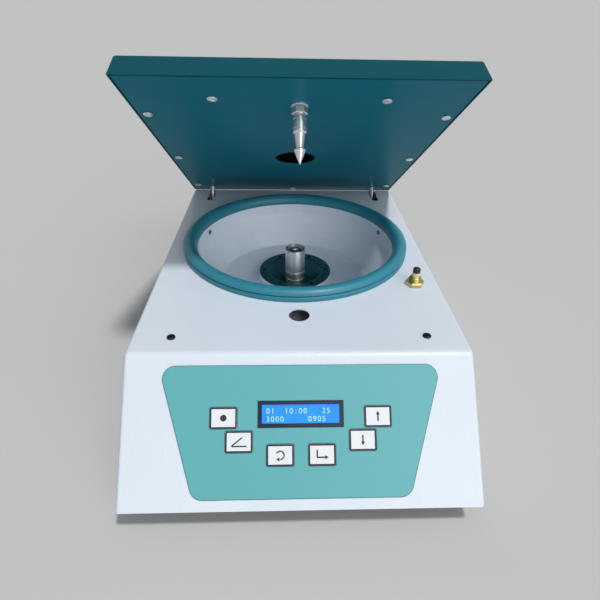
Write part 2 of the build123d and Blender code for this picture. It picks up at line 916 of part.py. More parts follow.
core_base = can_base + core_end_gap
core_height = motor_can_height - 2 * core_end_gap
slot_ring = stator_inner_radius + stator_tooth + stator_slot_length / 2
with BuildPart() as motor_stator:
    with BuildSketch(Plane.XY.offset(core_base)):
        with Locations((0, spindle_y)):
            Circle(motor_radius - motor_wall)
            Circle(stator_inner_radius, mode=Mode.SUBTRACT)
            with PolarLocations(slot_ring, stator_slot_count):
                SlotOverall(stator_slot_length, stator_slot_width, mode=Mode.SUBTRACT)
    extrude(amount=core_height)
save(motor_stator, "motor_stator")

recess_floor = spindle_top - spindle_recess_depth
shaft_base = can_base - bearing_height + part_gap
shaft_top = recess_floor - spindle_end_wall
with BuildPart() as motor_shaft:
    with BuildSketch(Plane.XY.offset(shaft_base)):
        with Locations((0, spindle_y)):
            Circle(shaft_radius)
    extrude(amount=shaft_top - shaft_base)
    chamfer(motor_shaft.faces().sort_by(Axis.Z)[-1].edges(), shaft_chamfer)
    with BuildSketch(Plane.XY.offset(shaft_top)):
        with Locations((0, spindle_y)):
            Circle(spindle_screw_radius + shaft_gap)
    extrude(amount=spindle_end_wall - spindle_screw_length - spindle_screw_room, mode=Mode.SUBTRACT)
save(motor_shaft, "motor_shaft")

with BuildPart() as motor_rotor:
    with BuildSketch(Plane.XY.offset(core_base)):
        with Locations((0, spindle_y)):
            Circle(stator_inner_radius - part_gap)
            Circle(shaft_radius + shaft_gap, mode=Mode.SUBTRACT)
    extrude(amount=core_height)
save(motor_rotor, "motor_rotor")

# Rotor spindle: turned steel, bored for the shaft, with two grooves and a recess in its top
with BuildPart() as rotor_spindle:
    with BuildSketch(Plane.XY.offset(spindle_base)):
        with Locations((0, spindle_y)):
            Circle(spindle_radius)
    extrude(amount=spindle_length)
    chamfer(rotor_spindle.faces().sort_by(Axis.Z)[-1].edges(), spindle_chamfer)
    with BuildSketch(Plane.XY.offset(spindle_base)):
        with Locations((0, spindle_y)):
            Circle(shaft_radius + shaft_gap)
    extrude(amount=shaft_top - spindle_base, mode=Mode.SUBTRACT)
    with BuildSketch(Plane.XY.offset(spindle_top)):
        with Locations((0, spindle_y)):
            Circle(spindle_recess_radius)
    extrude(amount=-spindle_recess_depth, mode=Mode.SUBTRACT)
    with BuildSketch(Plane.XY.offset(recess_floor)):
        with Locations((0, spindle_y)):
            Circle(spindle_screw_radius + shaft_gap)
    extrude(amount=shaft_top - recess_floor, mode=Mode.SUBTRACT)
    for drop in spindle_grooves:
        with BuildSketch(Plane.XY.offset(spindle_top - drop)):
            with Locations((0, spindle_y)):
                Circle(spindle_radius + cut_room)
                Circle(spindle_radius - spindle_groove_depth, mode=Mode.SUBTRACT)
        extrude(amount=-spindle_groove_width, mode=Mode.SUBTRACT)
save(rotor_spindle, "rotor_spindle")

with BuildPart() as spindle_screw:
    with BuildSketch(Plane.XY.offset(recess_floor)):
        with Locations((0, spindle_y)):
            Circle(spindle_screw_head_radius)
            RegularPolygon(spindle_hex_radius, 6, mode=Mode.SUBTRACT)
    extrude(amount=spindle_screw_head_height)
    with BuildSketch(Plane.XY.offset(recess_floor)):
        with Locations((0, spindle_y)):
            Circle(spindle_screw_head_radius)
    extrude(amount=spindle_hex_floor)
    with BuildSketch(Plane.XY.offset(recess_floor)):
        with Locations((0, spindle_y)):
            Circle(spindle_screw_radius)
    extrude(amount=-spindle_screw_length)
save(spindle_screw, "spindle_screw")

# Lid shell: a folded pan with a sloped front, and posts inside for the nine plate screws
lid_front = arm_inset - lid_length
post_length = lid_height - sheet - lid_plate_gap - sheet
window_y = spindle_y - hinge_y
with BuildPart() as lid_shell:
    with BuildSketch(lid_section):
        with BuildLine():
            Polyline(
                (arm_inset, 0),
                (arm_inset, lid_height),
                (lid_front + lid_front_slope, lid_height),
                (lid_front, 0),
                close=True,
            )
        make_face()
    extrude(amount=lid_width / 2, both=True)
    fillet(lid_shell.faces().filter_by(lid_axis).sort_by(lid_axis)[-1].edges(), lid_bend)
    lid_mouth = lid_shell.faces().filter_by(lid_axis).sort_by(lid_axis)[0]
    offset(amount=-sheet, openings=lid_mouth)
    with BuildSketch(lid_under.offset(lid_plate_gap + sheet)):
        with Locations(*lid_screw_places):
            Circle(lid_post_radius)
    extrude(amount=post_length)
    with BuildSketch(lid_under):
        with Locations(*lid_screw_places):
            Circle(screw_shank_radius + shank_gap)
    extrude(amount=lid_height / 2, mode=Mode.SUBTRACT)
    with BuildSketch(lid_under.offset(lid_height)):
        with Locations((0, window_y)):
            Circle(window_hole_radius)
    extrude(amount=-2 * sheet, mode=Mode.SUBTRACT)
save(lid_shell, "lid_shell")

# Lid inner plate: lies just inside the rim and carries the pin and the arms
plate_front = lid_front + sheet + plate_front_gap + lid_front_slope * lid_plate_gap / lid_height
plate_rear = arm_inset - sheet - plate_gap
with BuildPart() as lid_inner_plate:
    with BuildSketch(lid_under.offset(lid_plate_gap)):
        with Locations((0, (plate_front + plate_rear) / 2)):
            RectangleRounded(lid_width - 2 * (sheet + plate_gap), plate_rear - plate_front, plate_corner)
        with Locations(*lid_screw_places):
            Circle(screw_shank_radius + shank_gap, mode=Mode.SUBTRACT)
        with Locations(*arm_places):
            Circle(arm_radius + shank_gap, mode=Mode.SUBTRACT)
        with Locations((0, latch_y - hinge_y)):
            Circle(pin_stud_radius + shank_gap, mode=Mode.SUBTRACT)
        with Locations((0, window_y)):
            Circle(plate_window_radius, mode=Mode.SUBTRACT)
    extrude(amount=sheet)
save(lid_inner_plate, "lid_inner_plate")

with BuildPart() as lid_screws:
    with BuildSketch(lid_under.offset(lid_plate_gap)):
        with Locations(*lid_screw_places):
            Circle(lid_screw_head_radius)
    extrude(amount=-lid_screw_head_height, taper=lid_screw_head_taper)
    with BuildSketch(lid_under.offset(lid_plate_gap)):
        with Locations(*lid_screw_places):
            Circle(screw_shank_radius)
    extrude(amount=lid_screw_length)
save(lid_screws, "lid_screws")

# Sight window over the spindle, held in a rubber grommet
window_top = lid_under.from_local_coords((0, window_y, lid_height))
with BuildPart() as window_grommet:
    with BuildSketch(Plane(origin=window_top, x_dir=lid_under.y_dir, z_dir=(1, 0, 0))):
        with BuildLine():
            Polyline(
                (grommet_inner_radius, grommet_lip),
                (grommet_outer_radius, grommet_lip),
                (grommet_outer_radius, 0),
                (window_hole_radius - grommet_gap, 0),
                (window_hole_radius - grommet_gap, -sheet),
                (grommet_outer_radius, -sheet),
                (grommet_outer_radius, -grommet_depth),
                (grommet_inner_radius, -grommet_depth),
                (grommet_inner_radius, -window_drop - window_thickness),
                (window_radius + grommet_gap, -window_drop - window_thickness),
                (window_radius + grommet_gap, -window_drop),
                (grommet_inner_radius, -window_drop),
                close=True,
            )
        make_face()
    revolve(axis=Axis(window_top, lid_under.z_dir))
save(window_grommet, "window_grommet")

with BuildPart() as sight_window:
    with BuildSketch(lid_under.offset(lid_height - window_drop)):
        with Locations((0, window_y)):
            Circle(window_radius)
    extrude(amount=-window_thickness)
save(sight_window, "sight_window")

# Latch pin: turned in one piece, with a threaded stud, a body, a long neck and a cone head
pin_y = latch_y - hinge_y
pin_origin = lid_under.from_local_coords((0, pin_y, 0))
pin_section = Plane(origin=pin_origin, x_dir=lid_under.y_dir, z_dir=(1, 0, 0))
with BuildPart() as latch_pin:
    with BuildSketch(pin_section):
        with BuildLine():
            Polyline(
                (0, pin_stud_inside),
                (pin_stud_radius, pin_stud_inside),
                (pin_stud_radius, -pin_body_start),
                (pin_body_radius, -pin_body_start),
                (pin_body_radius, -pin_body_end),
                (pin_body_radius - pin_shoulder_step, -pin_body_end - pin_shoulder_height),
                (pin_neck_radius, -pin_neck_end),
                (pin_head_radius, -pin_head_start),
                (pin_tip_radius, -pin_length),
                (0, -pin_length),
                close=True,
            )
        make_face()
    revolve(axis=Axis(pin_origin, lid_under.z_dir))
save(latch_pin, "latch_pin")

with BuildPart() as latch_pin_nut:
    with BuildSketch(lid_under.offset(lid_plate_gap)):
        with Locations((0, pin_y)):
            Circle(pin_washer_radius)
            Circle(pin_stud_radius + nut_gap, mode=Mode.SUBTRACT)
    extrude(amount=-pin_washer_height)
    with BuildSketch(lid_under.offset(lid_plate_gap - pin_washer_height)):
        with Locations((0, pin_y)):
            RegularPolygon(pin_nut_flats / 2, 6, major_radius=False)
            Circle(pin_stud_radius + nut_gap, mode=Mode.SUBTRACT)
    extrude(amount=-pin_nut_height)
save(latch_pin_nut, "latch_pin_nut")

# Lid arms: a sleeve on the hinge shaft, a round rod through the slot, and a collar at the lid
with BuildPart() as lid_arms:
    with BuildSketch(hinge_plane):
        with Locations(*arm_places):
            Circle(arm_radius)
    extrude(amount=lid_rise + lid_plate_gap + sheet + arm_thread)
    with BuildSketch(lid_under.offset(lid_plate_gap)):
        with Locations(*arm_places):
            Circle(arm_collar_radius)
    extrude(amount=-arm_collar_height)
    for side in (1, -1):
        with BuildSketch(Plane(origin=(side * arm_x, hinge_y, hinge_z), x_dir=(0, 1, 0), z_dir=(1, 0, 0))):
            Circle(arm_hub_radius)
        extrude(amount=arm_hub_width / 2, both=True)
    with BuildSketch(Plane(origin=(0, hinge_y, hinge_z), x_dir=(0, 1, 0), z_dir=(1, 0, 0))):
        Circle(hinge_shaft_radius + arm_hub_gap)
    extrude(amount=body_width / 2, both=True, mode=Mode.SUBTRACT)
save(lid_arms, "lid_arms")

with BuildPart() as arm_nuts:
    with BuildSketch(lid_under.offset(lid_plate_gap + sheet)):
        with Locations(*arm_places):
            RegularPolygon(arm_nut_flats / 2, 6, major_radius=False)
            Circle(arm_radius + nut_gap, mode=Mode.SUBTRACT)
    extrude(amount=arm_nut_height)
save(arm_nuts, "arm_nuts")

# Hinge shaft across the housing, with its brackets and springs
with BuildPart() as hinge_shaft:
    with BuildSketch(Plane(origin=(0, hinge_y, hinge_z), x_dir=(0, 1, 0), z_dir=(1, 0, 0))):
        Circle(hinge_shaft_radius)
    extrude(amount=hinge_bracket_x + hinge_bracket_sheet + hinge_shaft_end, both=True)
    chamfer(hinge_shaft.faces().filter_by(Axis.X).edges(), hinge_shaft_chamfer)
save(hinge_shaft, "hinge_shaft")

with BuildPart() as hinge_brackets:
    for side in (1, -1):
        with BuildSketch(Plane.XZ.offset(-hinge_y)):
            with BuildLine():
                Polyline(
                    (side * hinge_bracket_x, hinge_z - hinge_bracket_drop),
                    (side * (hinge_bracket_x + hinge_bracket_sheet), hinge_z - hinge_bracket_drop),
                    (side * (hinge_bracket_x + hinge_bracket_sheet), under_top - hinge_bracket_sheet),
                    (side * (hinge_bracket_x + hinge_bracket_flange), under_top - hinge_bracket_sheet),
                    (side * (hinge_bracket_x + hinge_bracket_flange), under_top),
                    (side * hinge_bracket_x, under_top),
                    close=True,
                )
            make_face()
        extrude(amount=hinge_bracket_width / 2, both=True)
    with BuildSketch(Plane(origin=(0, hinge_y, hinge_z), x_dir=(0, 1, 0), z_dir=(1, 0, 0))):
        Circle(hinge_shaft_radius + hinge_bracket_gap)
    extrude(amount=body_width / 2, both=True, mode=Mode.SUBTRACT)
save(hinge_brackets, "hinge_brackets")

spring_radius = hinge_shaft_radius + fit_gap + spring_wire
spring_x = arm_x - arm_hub_width / 2 - part_gap - spring_wire - spring_pitch * spring_turns
with BuildPart() as hinge_springs:
    for side in (1, -1):
        with BuildLine() as coil:
            Helix(spring_pitch, spring_pitch * spring_turns, spring_radius,
                  center=(side * spring_x, hinge_y, hinge_z), direction=(side, 0, 0))
        with BuildSketch(Plane(origin=coil.line @ 0, z_dir=coil.line % 0)):
            Circle(spring_wire)
        sweep(path=coil.line, is_frenet=True)
save(hinge_springs, "hinge_springs")

# Latch bracket: a folded channel under the top, whose web guides the slide
slide_top = top_height - slide_level
slide_base = slide_top - slide_thickness
web_top = slide_base - slide_gap
with BuildPart() as latch_bracket:
    with BuildSketch(Plane.YZ):
        with BuildLine():
            FilletPolyline(
                (latch_y - latch_half_depth - latch_foot, under_top - sheet),
                (latch_y - latch_half_depth, under_top - sheet),
                (latch_y - latch_half_depth, web_top - sheet),
                (latch_y + latch_half_depth, web_top - sheet),
                (latch_y + latch_half_depth, under_top - sheet),
                (latch_y + latch_half_depth + latch_foot, under_top - sheet),
                radius=tray_bend,
            )
            offset(amount=sheet, side=Side.LEFT)
        make_face()
    extrude(amount=latch_half_length, both=True)
    with BuildSketch(Plane.XY.offset(web_top)):
        with Locations((0, latch_y)):
            Circle(slide_hole_radius)
    extrude(amount=-2 * sheet, mode=Mode.SUBTRACT)
save(latch_bracket, "latch_bracket")

# Latch slide: its keyhole lets the cone head through, and its slot holds the neck. The solenoid
# keeps it at either end of its travel, and it is drawn released.
slide_right = latch_half_length - slide_travel - slide_end_room
slide_left = latch_half_length + solenoid_gap
with BuildPart() as latch_slide:
    with BuildSketch(Plane.XY.offset(slide_base)):
        with Locations(((slide_right - slide_left) / 2, latch_y)):
            RectangleRounded(slide_right + slide_left, 2 * slide_half_width, slide_corner)
        with Locations((0, latch_y)):
            Circle(slide_hole_radius, mode=Mode.SUBTRACT)
        with Locations((-slide_travel, latch_y)):
            Circle(slide_slot_half, mode=Mode.SUBTRACT)
        with Locations((-slide_travel / 2, latch_y)):
            Rectangle(slide_travel, 2 * slide_slot_half, mode=Mode.SUBTRACT)
    extrude(amount=slide_thickness)
    with BuildSketch(Plane.YZ.offset(-slide_left)):
        with Locations((latch_y, slide_base)):
            Rectangle(2 * slide_half_width, slide_tab_height, align=(Align.CENTER, Align.MIN))
    extrude(amount=slide_thickness)
save(latch_slide, "latch_slide")

solenoid_x = -slide_left - solenoid_gap - solenoid_length
solenoid_z = slide_base + solenoid_rise
with BuildPart() as latch_solenoid:
    with BuildSketch(Plane.YZ.offset(solenoid_x)):
        with Locations((latch_y, solenoid_z)):
            RectangleRounded(solenoid_size, solenoid_size, solenoid_corner)
            Circle(solenoid_bore_radius, mode=Mode.SUBTRACT)
    extrude(amount=solenoid_length)
    with BuildSketch(Plane.XY.offset(under_top)):
        with Locations((solenoid_x + solenoid_length / 2, latch_y)):
            Rectangle(solenoid_strap_length, solenoid_strap_width)
    extrude(amount=-(under_top - solenoid_z - solenoid_size / 2))
save(latch_solenoid, "latch_solenoid")

with BuildPart() as solenoid_plunger:
    with BuildSketch(Plane.YZ.offset(-slide_left)):
        with Locations((latch_y, solenoid_z)):
            Circle(solenoid_plunger_radius)
    extrude(amount=-solenoid_gap - solenoid_plunger_inside)
save(solenoid_plunger, "solenoid_plunger")

# Lid switch: threaded bushing, nut, sprung rod with a cap, and the switch body below
with BuildPart() as switch_bushing:
    with BuildSketch(Plane.XY.offset(under_top - switch_below)):
        with Locations((switch_x, switch_y)):
            Circle(switch_thread_radius)
    extrude(amount=switch_below + sheet + switch_above)
    chamfer(switch_bushing.faces().sort_by(Axis.Z)[-1].edges(), switch_chamfer)
    with BuildSketch(Plane.XY.offset(under_top)):
        with Locations((switch_x, switch_y)):
            RegularPolygon(switch_nut_flats / 2, 6, major_radius=False)
    extrude(amount=-switch_hex_height)
    with BuildSketch(Plane.XY.offset(under_top - switch_below)):
        with Locations((switch_x, switch_y)):
            Circle(switch_bore_radius)
    extrude(amount=switch_below + sheet + switch_above, mode=Mode.SUBTRACT)
save(switch_bushing, "switch_bushing")

with BuildPart() as switch_nut:
    with BuildSketch(top_face):
        with Locations((switch_x, switch_y)):
            RegularPolygon(switch_nut_flats / 2, 6, major_radius=False)
    extrude(amount=switch_nut_height)
    with BuildSketch(top_face):
        with Locations((switch_x, switch_y)):
            Circle(switch_thread_radius + nut_gap)
    extrude(amount=switch_nut_height, mode=Mode.SUBTRACT)
save(switch_nut, "switch_nut")

rod_top = top_height + switch_above + switch_rod_above
rod_base = under_top - switch_rod_inside
with BuildPart() as switch_plunger:
    with BuildSketch(Plane.XY.offset(rod_base)):
        with Locations((switch_x, switch_y)):
            Circle(switch_rod_radius)
    extrude(amount=rod_top - rod_base)
save(switch_plunger, "switch_plunger")

with BuildPart() as switch_cap:
    with BuildSketch(Plane.XY.offset(rod_top)):
        with Locations((switch_x, switch_y)):
            Circle(switch_cap_radius)
    extrude(amount=switch_cap_height)
    fillet(switch_cap.faces().sort_by(Axis.Z)[-1].edges(), switch_cap_round)
save(switch_cap, "switch_cap")

switch_body_top = rod_base - switch_travel - switch_body_gap
switch_body_base = switch_body_top - switch_body_height
with BuildPart() as lid_switch_body:
    with BuildSketch(Plane.XY.offset(switch_body_base)):
        with Locations((switch_x, switch_y)):
            RectangleRounded(switch_body_width, switch_body_depth, switch_body_corner)
    extrude(amount=switch_body_height)
    with BuildSketch(Plane.YZ.offset(switch_x)):
        with BuildLine():
            Polyline(
                (switch_y - switch_bracket_half, under_top),
                (switch_y - switch_bracket_half, switch_body_base),
                (switch_y + switch_bracket_half, switch_body_base),
                (switch_y + switch_bracket_half, under_top),
            )
            offset(amount=sheet, side=Side.RIGHT)
        make_face()
    extrude(amount=switch_bracket_width / 2, both=True)
save(lid_switch_body, "lid_switch_body")

# Control overlay: a thin foil with windows for the display and the keys
with BuildPart() as control_overlay:
    with BuildSketch(panel):
        add(overlay_outline())
        make_face()
        with Locations((display_x, -display_down)):
            Rectangle(display_width, display_height, mode=Mode.SUBTRACT)
        with Locations(*((x, -down) for x, down in key_places.values())):
            RectangleRounded(key_width + 2 * key_gap, key_height + 2 * key_gap, key_corner + key_gap,
                             mode=Mode.SUBTRACT)
    extrude(amount=overlay_thickness)
save(control_overlay, "control_overlay")

# Keys: a flat cap in its window, on a stem that reaches the switch behind the panel
for name, (x, down) in key_places.items():
    with BuildPart() as key:
        with BuildSketch(panel.offset(key_lift)):
            with Locations((x, -down)):
                RectangleRounded(key_width, key_height, key_corner)
        extrude(amount=key_thickness)
        with BuildSketch(panel.offset(key_lift)):
            with Locations((x, -down)):
                Circle(key_stem_radius)
        extrude(amount=-key_lift - key_stem_end)
    save(key, name)

# Display: a metal frame round the glass, standing on the front board with the key switches
with BuildPart() as display_module:
    with BuildSketch(panel.offset(-board_depth)):
        with Locations((display_x, -display_down)):
            Rectangle(display_width - 2 * fit_gap, display_height - 2 * fit_gap)
    extrude(amount=board_depth + display_proud)
    with BuildSketch(panel.offset(display_proud)):
        with Locations((display_x, -display_down)):
            Rectangle(display_view_width, display_view_height)
    extrude(amount=-display_pocket, mode=Mode.SUBTRACT)
save(display_module, "display_module")

with BuildPart() as display_glass:
    with BuildSketch(panel.offset(display_proud - display_pocket)):
        with Locations((display_x, -display_down)):
            Rectangle(display_view_width - 2 * display_cell_gap, display_view_height - 2 * display_cell_gap)
    extrude(amount=display_cell)
save(display_glass, "display_glass")

with BuildPart() as front_board:
    with BuildSketch(panel.offset(-board_depth)):
        with Locations((0, -front_board_down)):
            RectangleRounded(front_board_width, front_board_height, board_corner)
    extrude(amount=-board_thickness)
    with BuildSketch(panel.offset(-board_depth)):
        with Locations(*((x, -down) for x, down in key_places.values())):
            Rectangle(tact_size, tact_size)
    extrude(amount=tact_height)
    with BuildSketch(panel.offset(-board_depth + tact_height)):
        with Locations(*((x, -down) for x, down in key_places.values())):
            Circle(tact_button_radius)
    extrude(amount=tact_button_height)
save(front_board, "front_board")

# Control board with its transformer, capacitors and heat sink, on spacers in the tray
board_y = back(control_board_back)
board_rear = board_y + control_board_depth / 2
board_z = tray_top + tray_spacer_height
tray_spacer_y = control_board_depth / 2 - tray_spacer_inset
tray_spacer_places = both_sides(control_board_width / 2 - tray_spacer_inset,
                                board_y - tray_spacer_y, board_y + tray_spacer_y)
with BuildPart() as board_spacers:
    with BuildSketch(panel.offset(-board_depth)):
        with Locations(*spacer_places):
            RegularPolygon(spacer_radius, 6)
    extrude(amount=board_depth - sheet)
    with BuildSketch(Plane.XY.offset(tray_top)):
        with Locations(*tray_spacer_places):
            RegularPolygon(spacer_radius, 6)
    extrude(amount=tray_spacer_height)
save(board_spacers, "board_spacers")

with BuildPart() as control_board:
    with BuildSketch(Plane.XY.offset(board_z)):
        with Locations((0, board_y)):
            Rectangle(control_board_width, control_board_depth)
    extrude(amount=board_thickness)
    parts_face = Plane.XY.offset(board_z + board_thickness)
    with BuildSketch(parts_face):
        with Locations((transformer_inset[0] - control_board_width / 2, board_rear - transformer_inset[1])):
            Rectangle(*transformer_size[:2])
    extrude(amount=transformer_size[2])
    with BuildSketch(parts_face):
        with Locations((capacitor_x, board_rear - capacitor_inset)):
            with GridLocations(capacitor_pitch, 0, capacitor_count, 1):
                Circle(capacitor_radius)
    extrude(amount=capacitor_height)
    with BuildSketch(parts_face):
        with Locations((control_board_width / 2 - heat_sink_inset[0], board_rear - heat_sink_inset[1])):
            Rectangle(*heat_sink_web)
            with GridLocations(heat_sink_fin_pitch, 0, heat_sink_fin_count, 1):
                Rectangle(*heat_sink_fin)
    extrude(amount=heat_sink_height)
save(control_board, "control_board")

# Mains inlet with three pins in its mouth
with BuildPart() as power_inlet:
    with BuildSketch(rear_outer):
        with Locations((-inlet_x, rear_row_height)):
            RectangleRounded(inlet_flange_width, inlet_flange_height, inlet_flange_corner)
    extrude(amount=inlet_flange_thickness)
    with BuildSketch(rear_outer):
        with Locations((-inlet_x, rear_row_height)):
            RectangleRounded(inlet_body_width - 2 * fit_gap, inlet_body_height - 2 * fit_gap,
                             inlet_body_corner)
    extrude(amount=-inlet_depth)
    with BuildSketch(rear_outer.offset(inlet_flange_thickness)):
        with Locations((-inlet_x, rear_row_height)):
            RectangleRounded(inlet_mouth_width, inlet_mouth_height, inlet_mouth_corner)
    extrude(amount=-inlet_mouth_depth, mode=Mode.SUBTRACT)
    with BuildSketch(rear_outer.offset(inlet_flange_thickness - inlet_mouth_depth)):
        with Locations((-inlet_x, rear_row_height)):
            with Locations((0, inlet_pin_rise), *both_sides(inlet_pin_x, -inlet_pin_rise)):
                Rectangle(inlet_pin_width, inlet_pin_height)
    extrude(amount=inlet_pin_length)
save(power_inlet, "power_inlet")

with BuildPart() as power_switch:
    with BuildSketch(rear_outer):
        with Locations((-rocker_x, rear_row_height)):
            RectangleRounded(rocker_flange_width, rocker_flange_height, rocker_flange_corner)
    extrude(amount=rocker_flange_thickness)
    with BuildSketch(rear_outer):
        with Locations((-rocker_x, rear_row_height)):
            Rectangle(rocker_body_width - 2 * fit_gap, rocker_body_height - 2 * fit_gap)
    extrude(amount=-rocker_depth)
    with BuildSketch(rear_outer.offset(rocker_flange_thickness)):
        with Locations((-rocker_x, rear_row_height)):
            Rectangle(rocker_mouth_width, rocker_mouth_height)
    extrude(amount=-rocker_mouth_depth, mode=Mode.SUBTRACT)
save(power_switch, "power_switch")

# Rocker, tilted to its off end
rocker_half = rocker_mouth_height / 2 - rocker_end_gap
rocker_plane = Plane(
    origin=(rocker_x, rear_y + sheet - rocker_axis_depth, rear_row_height),
    x_dir=(0, cos(radians(rocker_tilt)), sin(radians(rocker_tilt))),
    z_dir=(1, 0, 0),
)
with BuildPart() as power_rocker:
    with BuildSketch(rocker_plane):
        with BuildLine():
            Polyline(
                (rocker_front, -rocker_half),
                (-rocker_behind, -rocker_half),
                (-rocker_behind, rocker_half),
                (rocker_front, rocker_half),
            )
            ThreePointArc((rocker_front, rocker_half), (rocker_crown, 0), (rocker_front, -rocker_half))
        make_face()
    extrude(amount=rocker_mouth_width / 2 - fit_gap, both=True)
save(power_rocker, "power_rocker")
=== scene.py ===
import json
from math import atan2, cos, pi, radians, sin

import bmesh
import bpy
from bpy.props import FloatProperty, FloatVectorProperty, IntProperty, PointerProperty
from mathutils import Matrix, Vector
from mathutils.bvhtree import BVHTree


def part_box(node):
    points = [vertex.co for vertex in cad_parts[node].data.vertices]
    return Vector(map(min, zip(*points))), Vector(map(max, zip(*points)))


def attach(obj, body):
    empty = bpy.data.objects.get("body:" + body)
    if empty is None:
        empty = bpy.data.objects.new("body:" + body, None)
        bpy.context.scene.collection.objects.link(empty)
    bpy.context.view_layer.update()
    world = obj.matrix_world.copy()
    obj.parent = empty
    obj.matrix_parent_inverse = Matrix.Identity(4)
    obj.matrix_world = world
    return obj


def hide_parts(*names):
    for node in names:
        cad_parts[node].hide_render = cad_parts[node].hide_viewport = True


bl_info = {
    "name": "Bench Centrifuge Dressing",
    "version": (1, 0, 0),
    "blender": (4, 5, 0),
    "location": "3D View > Sidebar > Centrifuge",
    "description": "Finishes and small parts of a bench centrifuge with an open lid",
    "category": "Object",
}

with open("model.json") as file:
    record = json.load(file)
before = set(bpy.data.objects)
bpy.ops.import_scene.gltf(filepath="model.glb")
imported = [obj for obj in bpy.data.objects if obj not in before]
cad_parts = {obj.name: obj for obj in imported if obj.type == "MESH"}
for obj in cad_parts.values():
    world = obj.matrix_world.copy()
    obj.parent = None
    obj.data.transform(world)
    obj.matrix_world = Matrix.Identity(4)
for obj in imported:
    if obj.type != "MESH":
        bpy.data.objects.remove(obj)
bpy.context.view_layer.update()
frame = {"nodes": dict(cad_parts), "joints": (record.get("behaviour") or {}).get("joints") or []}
mm = 0.001
keys = ["brake_key", "lid_key", "escape_key", "enter_key", "down_key", "up_key"]
flip = Matrix.Rotation(pi, 4, "X")

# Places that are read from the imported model
cover_low, cover_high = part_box("housing_cover")
spindle_low, spindle_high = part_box("rotor_spindle")
spindle_x = (spindle_low.x + spindle_high.x) / 2
spindle_y = (spindle_low.y + spindle_high.y) / 2
hinge = next(j for j in frame["joints"] if j["name"] == "lid_hinge")


def tint(name, description, colour):
    """A colour that a user can change."""
    return FloatVectorProperty(name=name, description=description, subtype="COLOR", size=3,
                               default=colour, min=0, max=1)


def length(name, description, value):
    """A length in metres that a user can change."""
    return FloatProperty(name=name, description=description, default=value, min=0,
                         subtype="DISTANCE", unit="LENGTH", precision=5)


def angle(name, description, degrees):
    """An angle that a user can change."""
    return FloatProperty(name=name, description=description, default=radians(degrees),
                         subtype="ANGLE", unit="ROTATION")


def number(name, description, value):
    """A plain number that a user can change."""
    return FloatProperty(name=name, description=description, default=value)


class CoatColours(bpy.types.PropertyGroup):
    """Colours of the finishes."""

    housing: tint("Housing", "White powder coat of the housing", (0.66, 0.73, 0.81))
    # Partly painted reflection: lighter patches in the drum, smears with painted glossy sheen
    smears_and_sheen: tint("Smears", "Dusty smears in the drum", (0.84, 0.88, 0.94))
    # Painted light: the housing's white coat, made lighter for the sky light in the drum
    drum: tint("Drum", "Bluish white coat of the drum", (0.78, 0.85, 0.95))
    lid: tint("Lid", "Deep teal coat of the lid shell", (0.0004, 0.068, 0.092))
    plate: tint("Lid plate", "Glossy teal paint under the lid", (0.006, 0.152, 0.215))
    boot: tint("Motor boot", "Dark teal of the disc round the spindle", (0.006, 0.07, 0.09))
    ring: tint("Rim ring", "Teal rubber of the ring round the drum", (0.022, 0.205, 0.28))
    foil: tint("Control foil", "Light teal of the printed foil", (0.1, 0.385, 0.41))
    key: tint("Keys", "White of the key caps", (0.72, 0.75, 0.78))
    ink: tint("Print", "Dark ink of the frames and signs", (0.012, 0.02, 0.03))
    steel: tint("Steel", "Turned and plated steel", (0.86, 0.88, 0.9))
    reflection: tint("Teal reflection", "Tint of the reflections in the teal paint", (0.3, 0.85, 1.0))
    zinc: tint("Plated steel", "Zinc plate of the hidden sheet metal", (0.5, 0.51, 0.53))
    aluminium: tint("Aluminium", "Machined aluminium", (0.72, 0.72, 0.73))
    black: tint("Black steel", "Blackened screws, springs and cans", (0.03, 0.03, 0.033))
    edge_ink: tint("Edge line", "Dark line along the foil's edge", (0.02, 0.1, 0.12))
    bezel: tint("Display frame", "Dark frame round the display", (0.006, 0.011, 0.03))
    rivet: tint("Rivets", "Dull rivets of the drum", (0.2, 0.21, 0.23))
    brass: tint("Brass", "Turned brass of the lid switch", (0.6, 0.5, 0.2))
    cream: tint("Cream plastic", "Rod of the lid switch", (0.75, 0.66, 0.42))
    plastic: tint("Black plastic", "Mains inlet, switches and rocker", (0.012, 0.013, 0.018))
    rubber: tint("Black rubber", "Feet, mounts and window ring", (0.018, 0.018, 0.018))
    display: tint("Display", "Lit blue of the display", (0.008, 0.13, 0.6))
    glow: tint("Display glow", "Brighter patches of the display's light", (0.022, 0.26, 0.84))
    digit: tint("Digits", "Numbers on the display", (0.5, 0.75, 0.95))
    digit_glow: tint("Digit glow", "Light of the numbers", (0.42, 0.72, 1.0))
    # Painted shade: the near black of the spindle's recess stands for the shade inside it
    recess: tint("Spindle recess", "Dark recess in the spindle's top", (0.03, 0.032, 0.035))
    board: tint("Circuit board", "Green of the circuit boards", (0.01, 0.09, 0.035))
    smoke: tint("Sight window", "Smoked window over the spindle", (0.05, 0.06, 0.06))


class DetailSizes(bpy.types.PropertyGroup):
    """Sizes of the small detail."""

    peel: length("Peel", "Distance between the bumps of the powder coat", 0.0022)
    open_angle: angle("Open angle", "How far the lid stands open at rest", 33.9)
    lid_rise: length("Lid rise", "From the hinge shaft to the underside of the lid", 0.0533)
    panel_run: length("Panel run", "Depth of the sloped panel, seen from above", 0.088)
    panel_drop: length("Panel drop", "Height of the sloped panel", 0.0915)
    print_lift: length("Print lift", "Height of the print over the keys and the foil", 0.00006)
    key_frame: length("Key frame", "Width of the dark frame on each key", 0.0013)
    edge_line: length("Edge line", "Width of the dark line along the foil's edge", 0.0004)
    # Radius of the painted shade in the spindle's top
    recess: length("Recess", "Radius of the dark recess in the spindle's top", 0.0093)
    ring_steps: IntProperty(name="Ring steps", description="Facets round the large rings",
                            default=144, min=24, max=360)
    turned_steps: IntProperty(name="Turned steps", description="Facets round the turned parts",
                              default=64, min=12, max=180)
    thread_pitch: length("Thread pitch", "Pitch of the thread on the lid switch", 0.001)


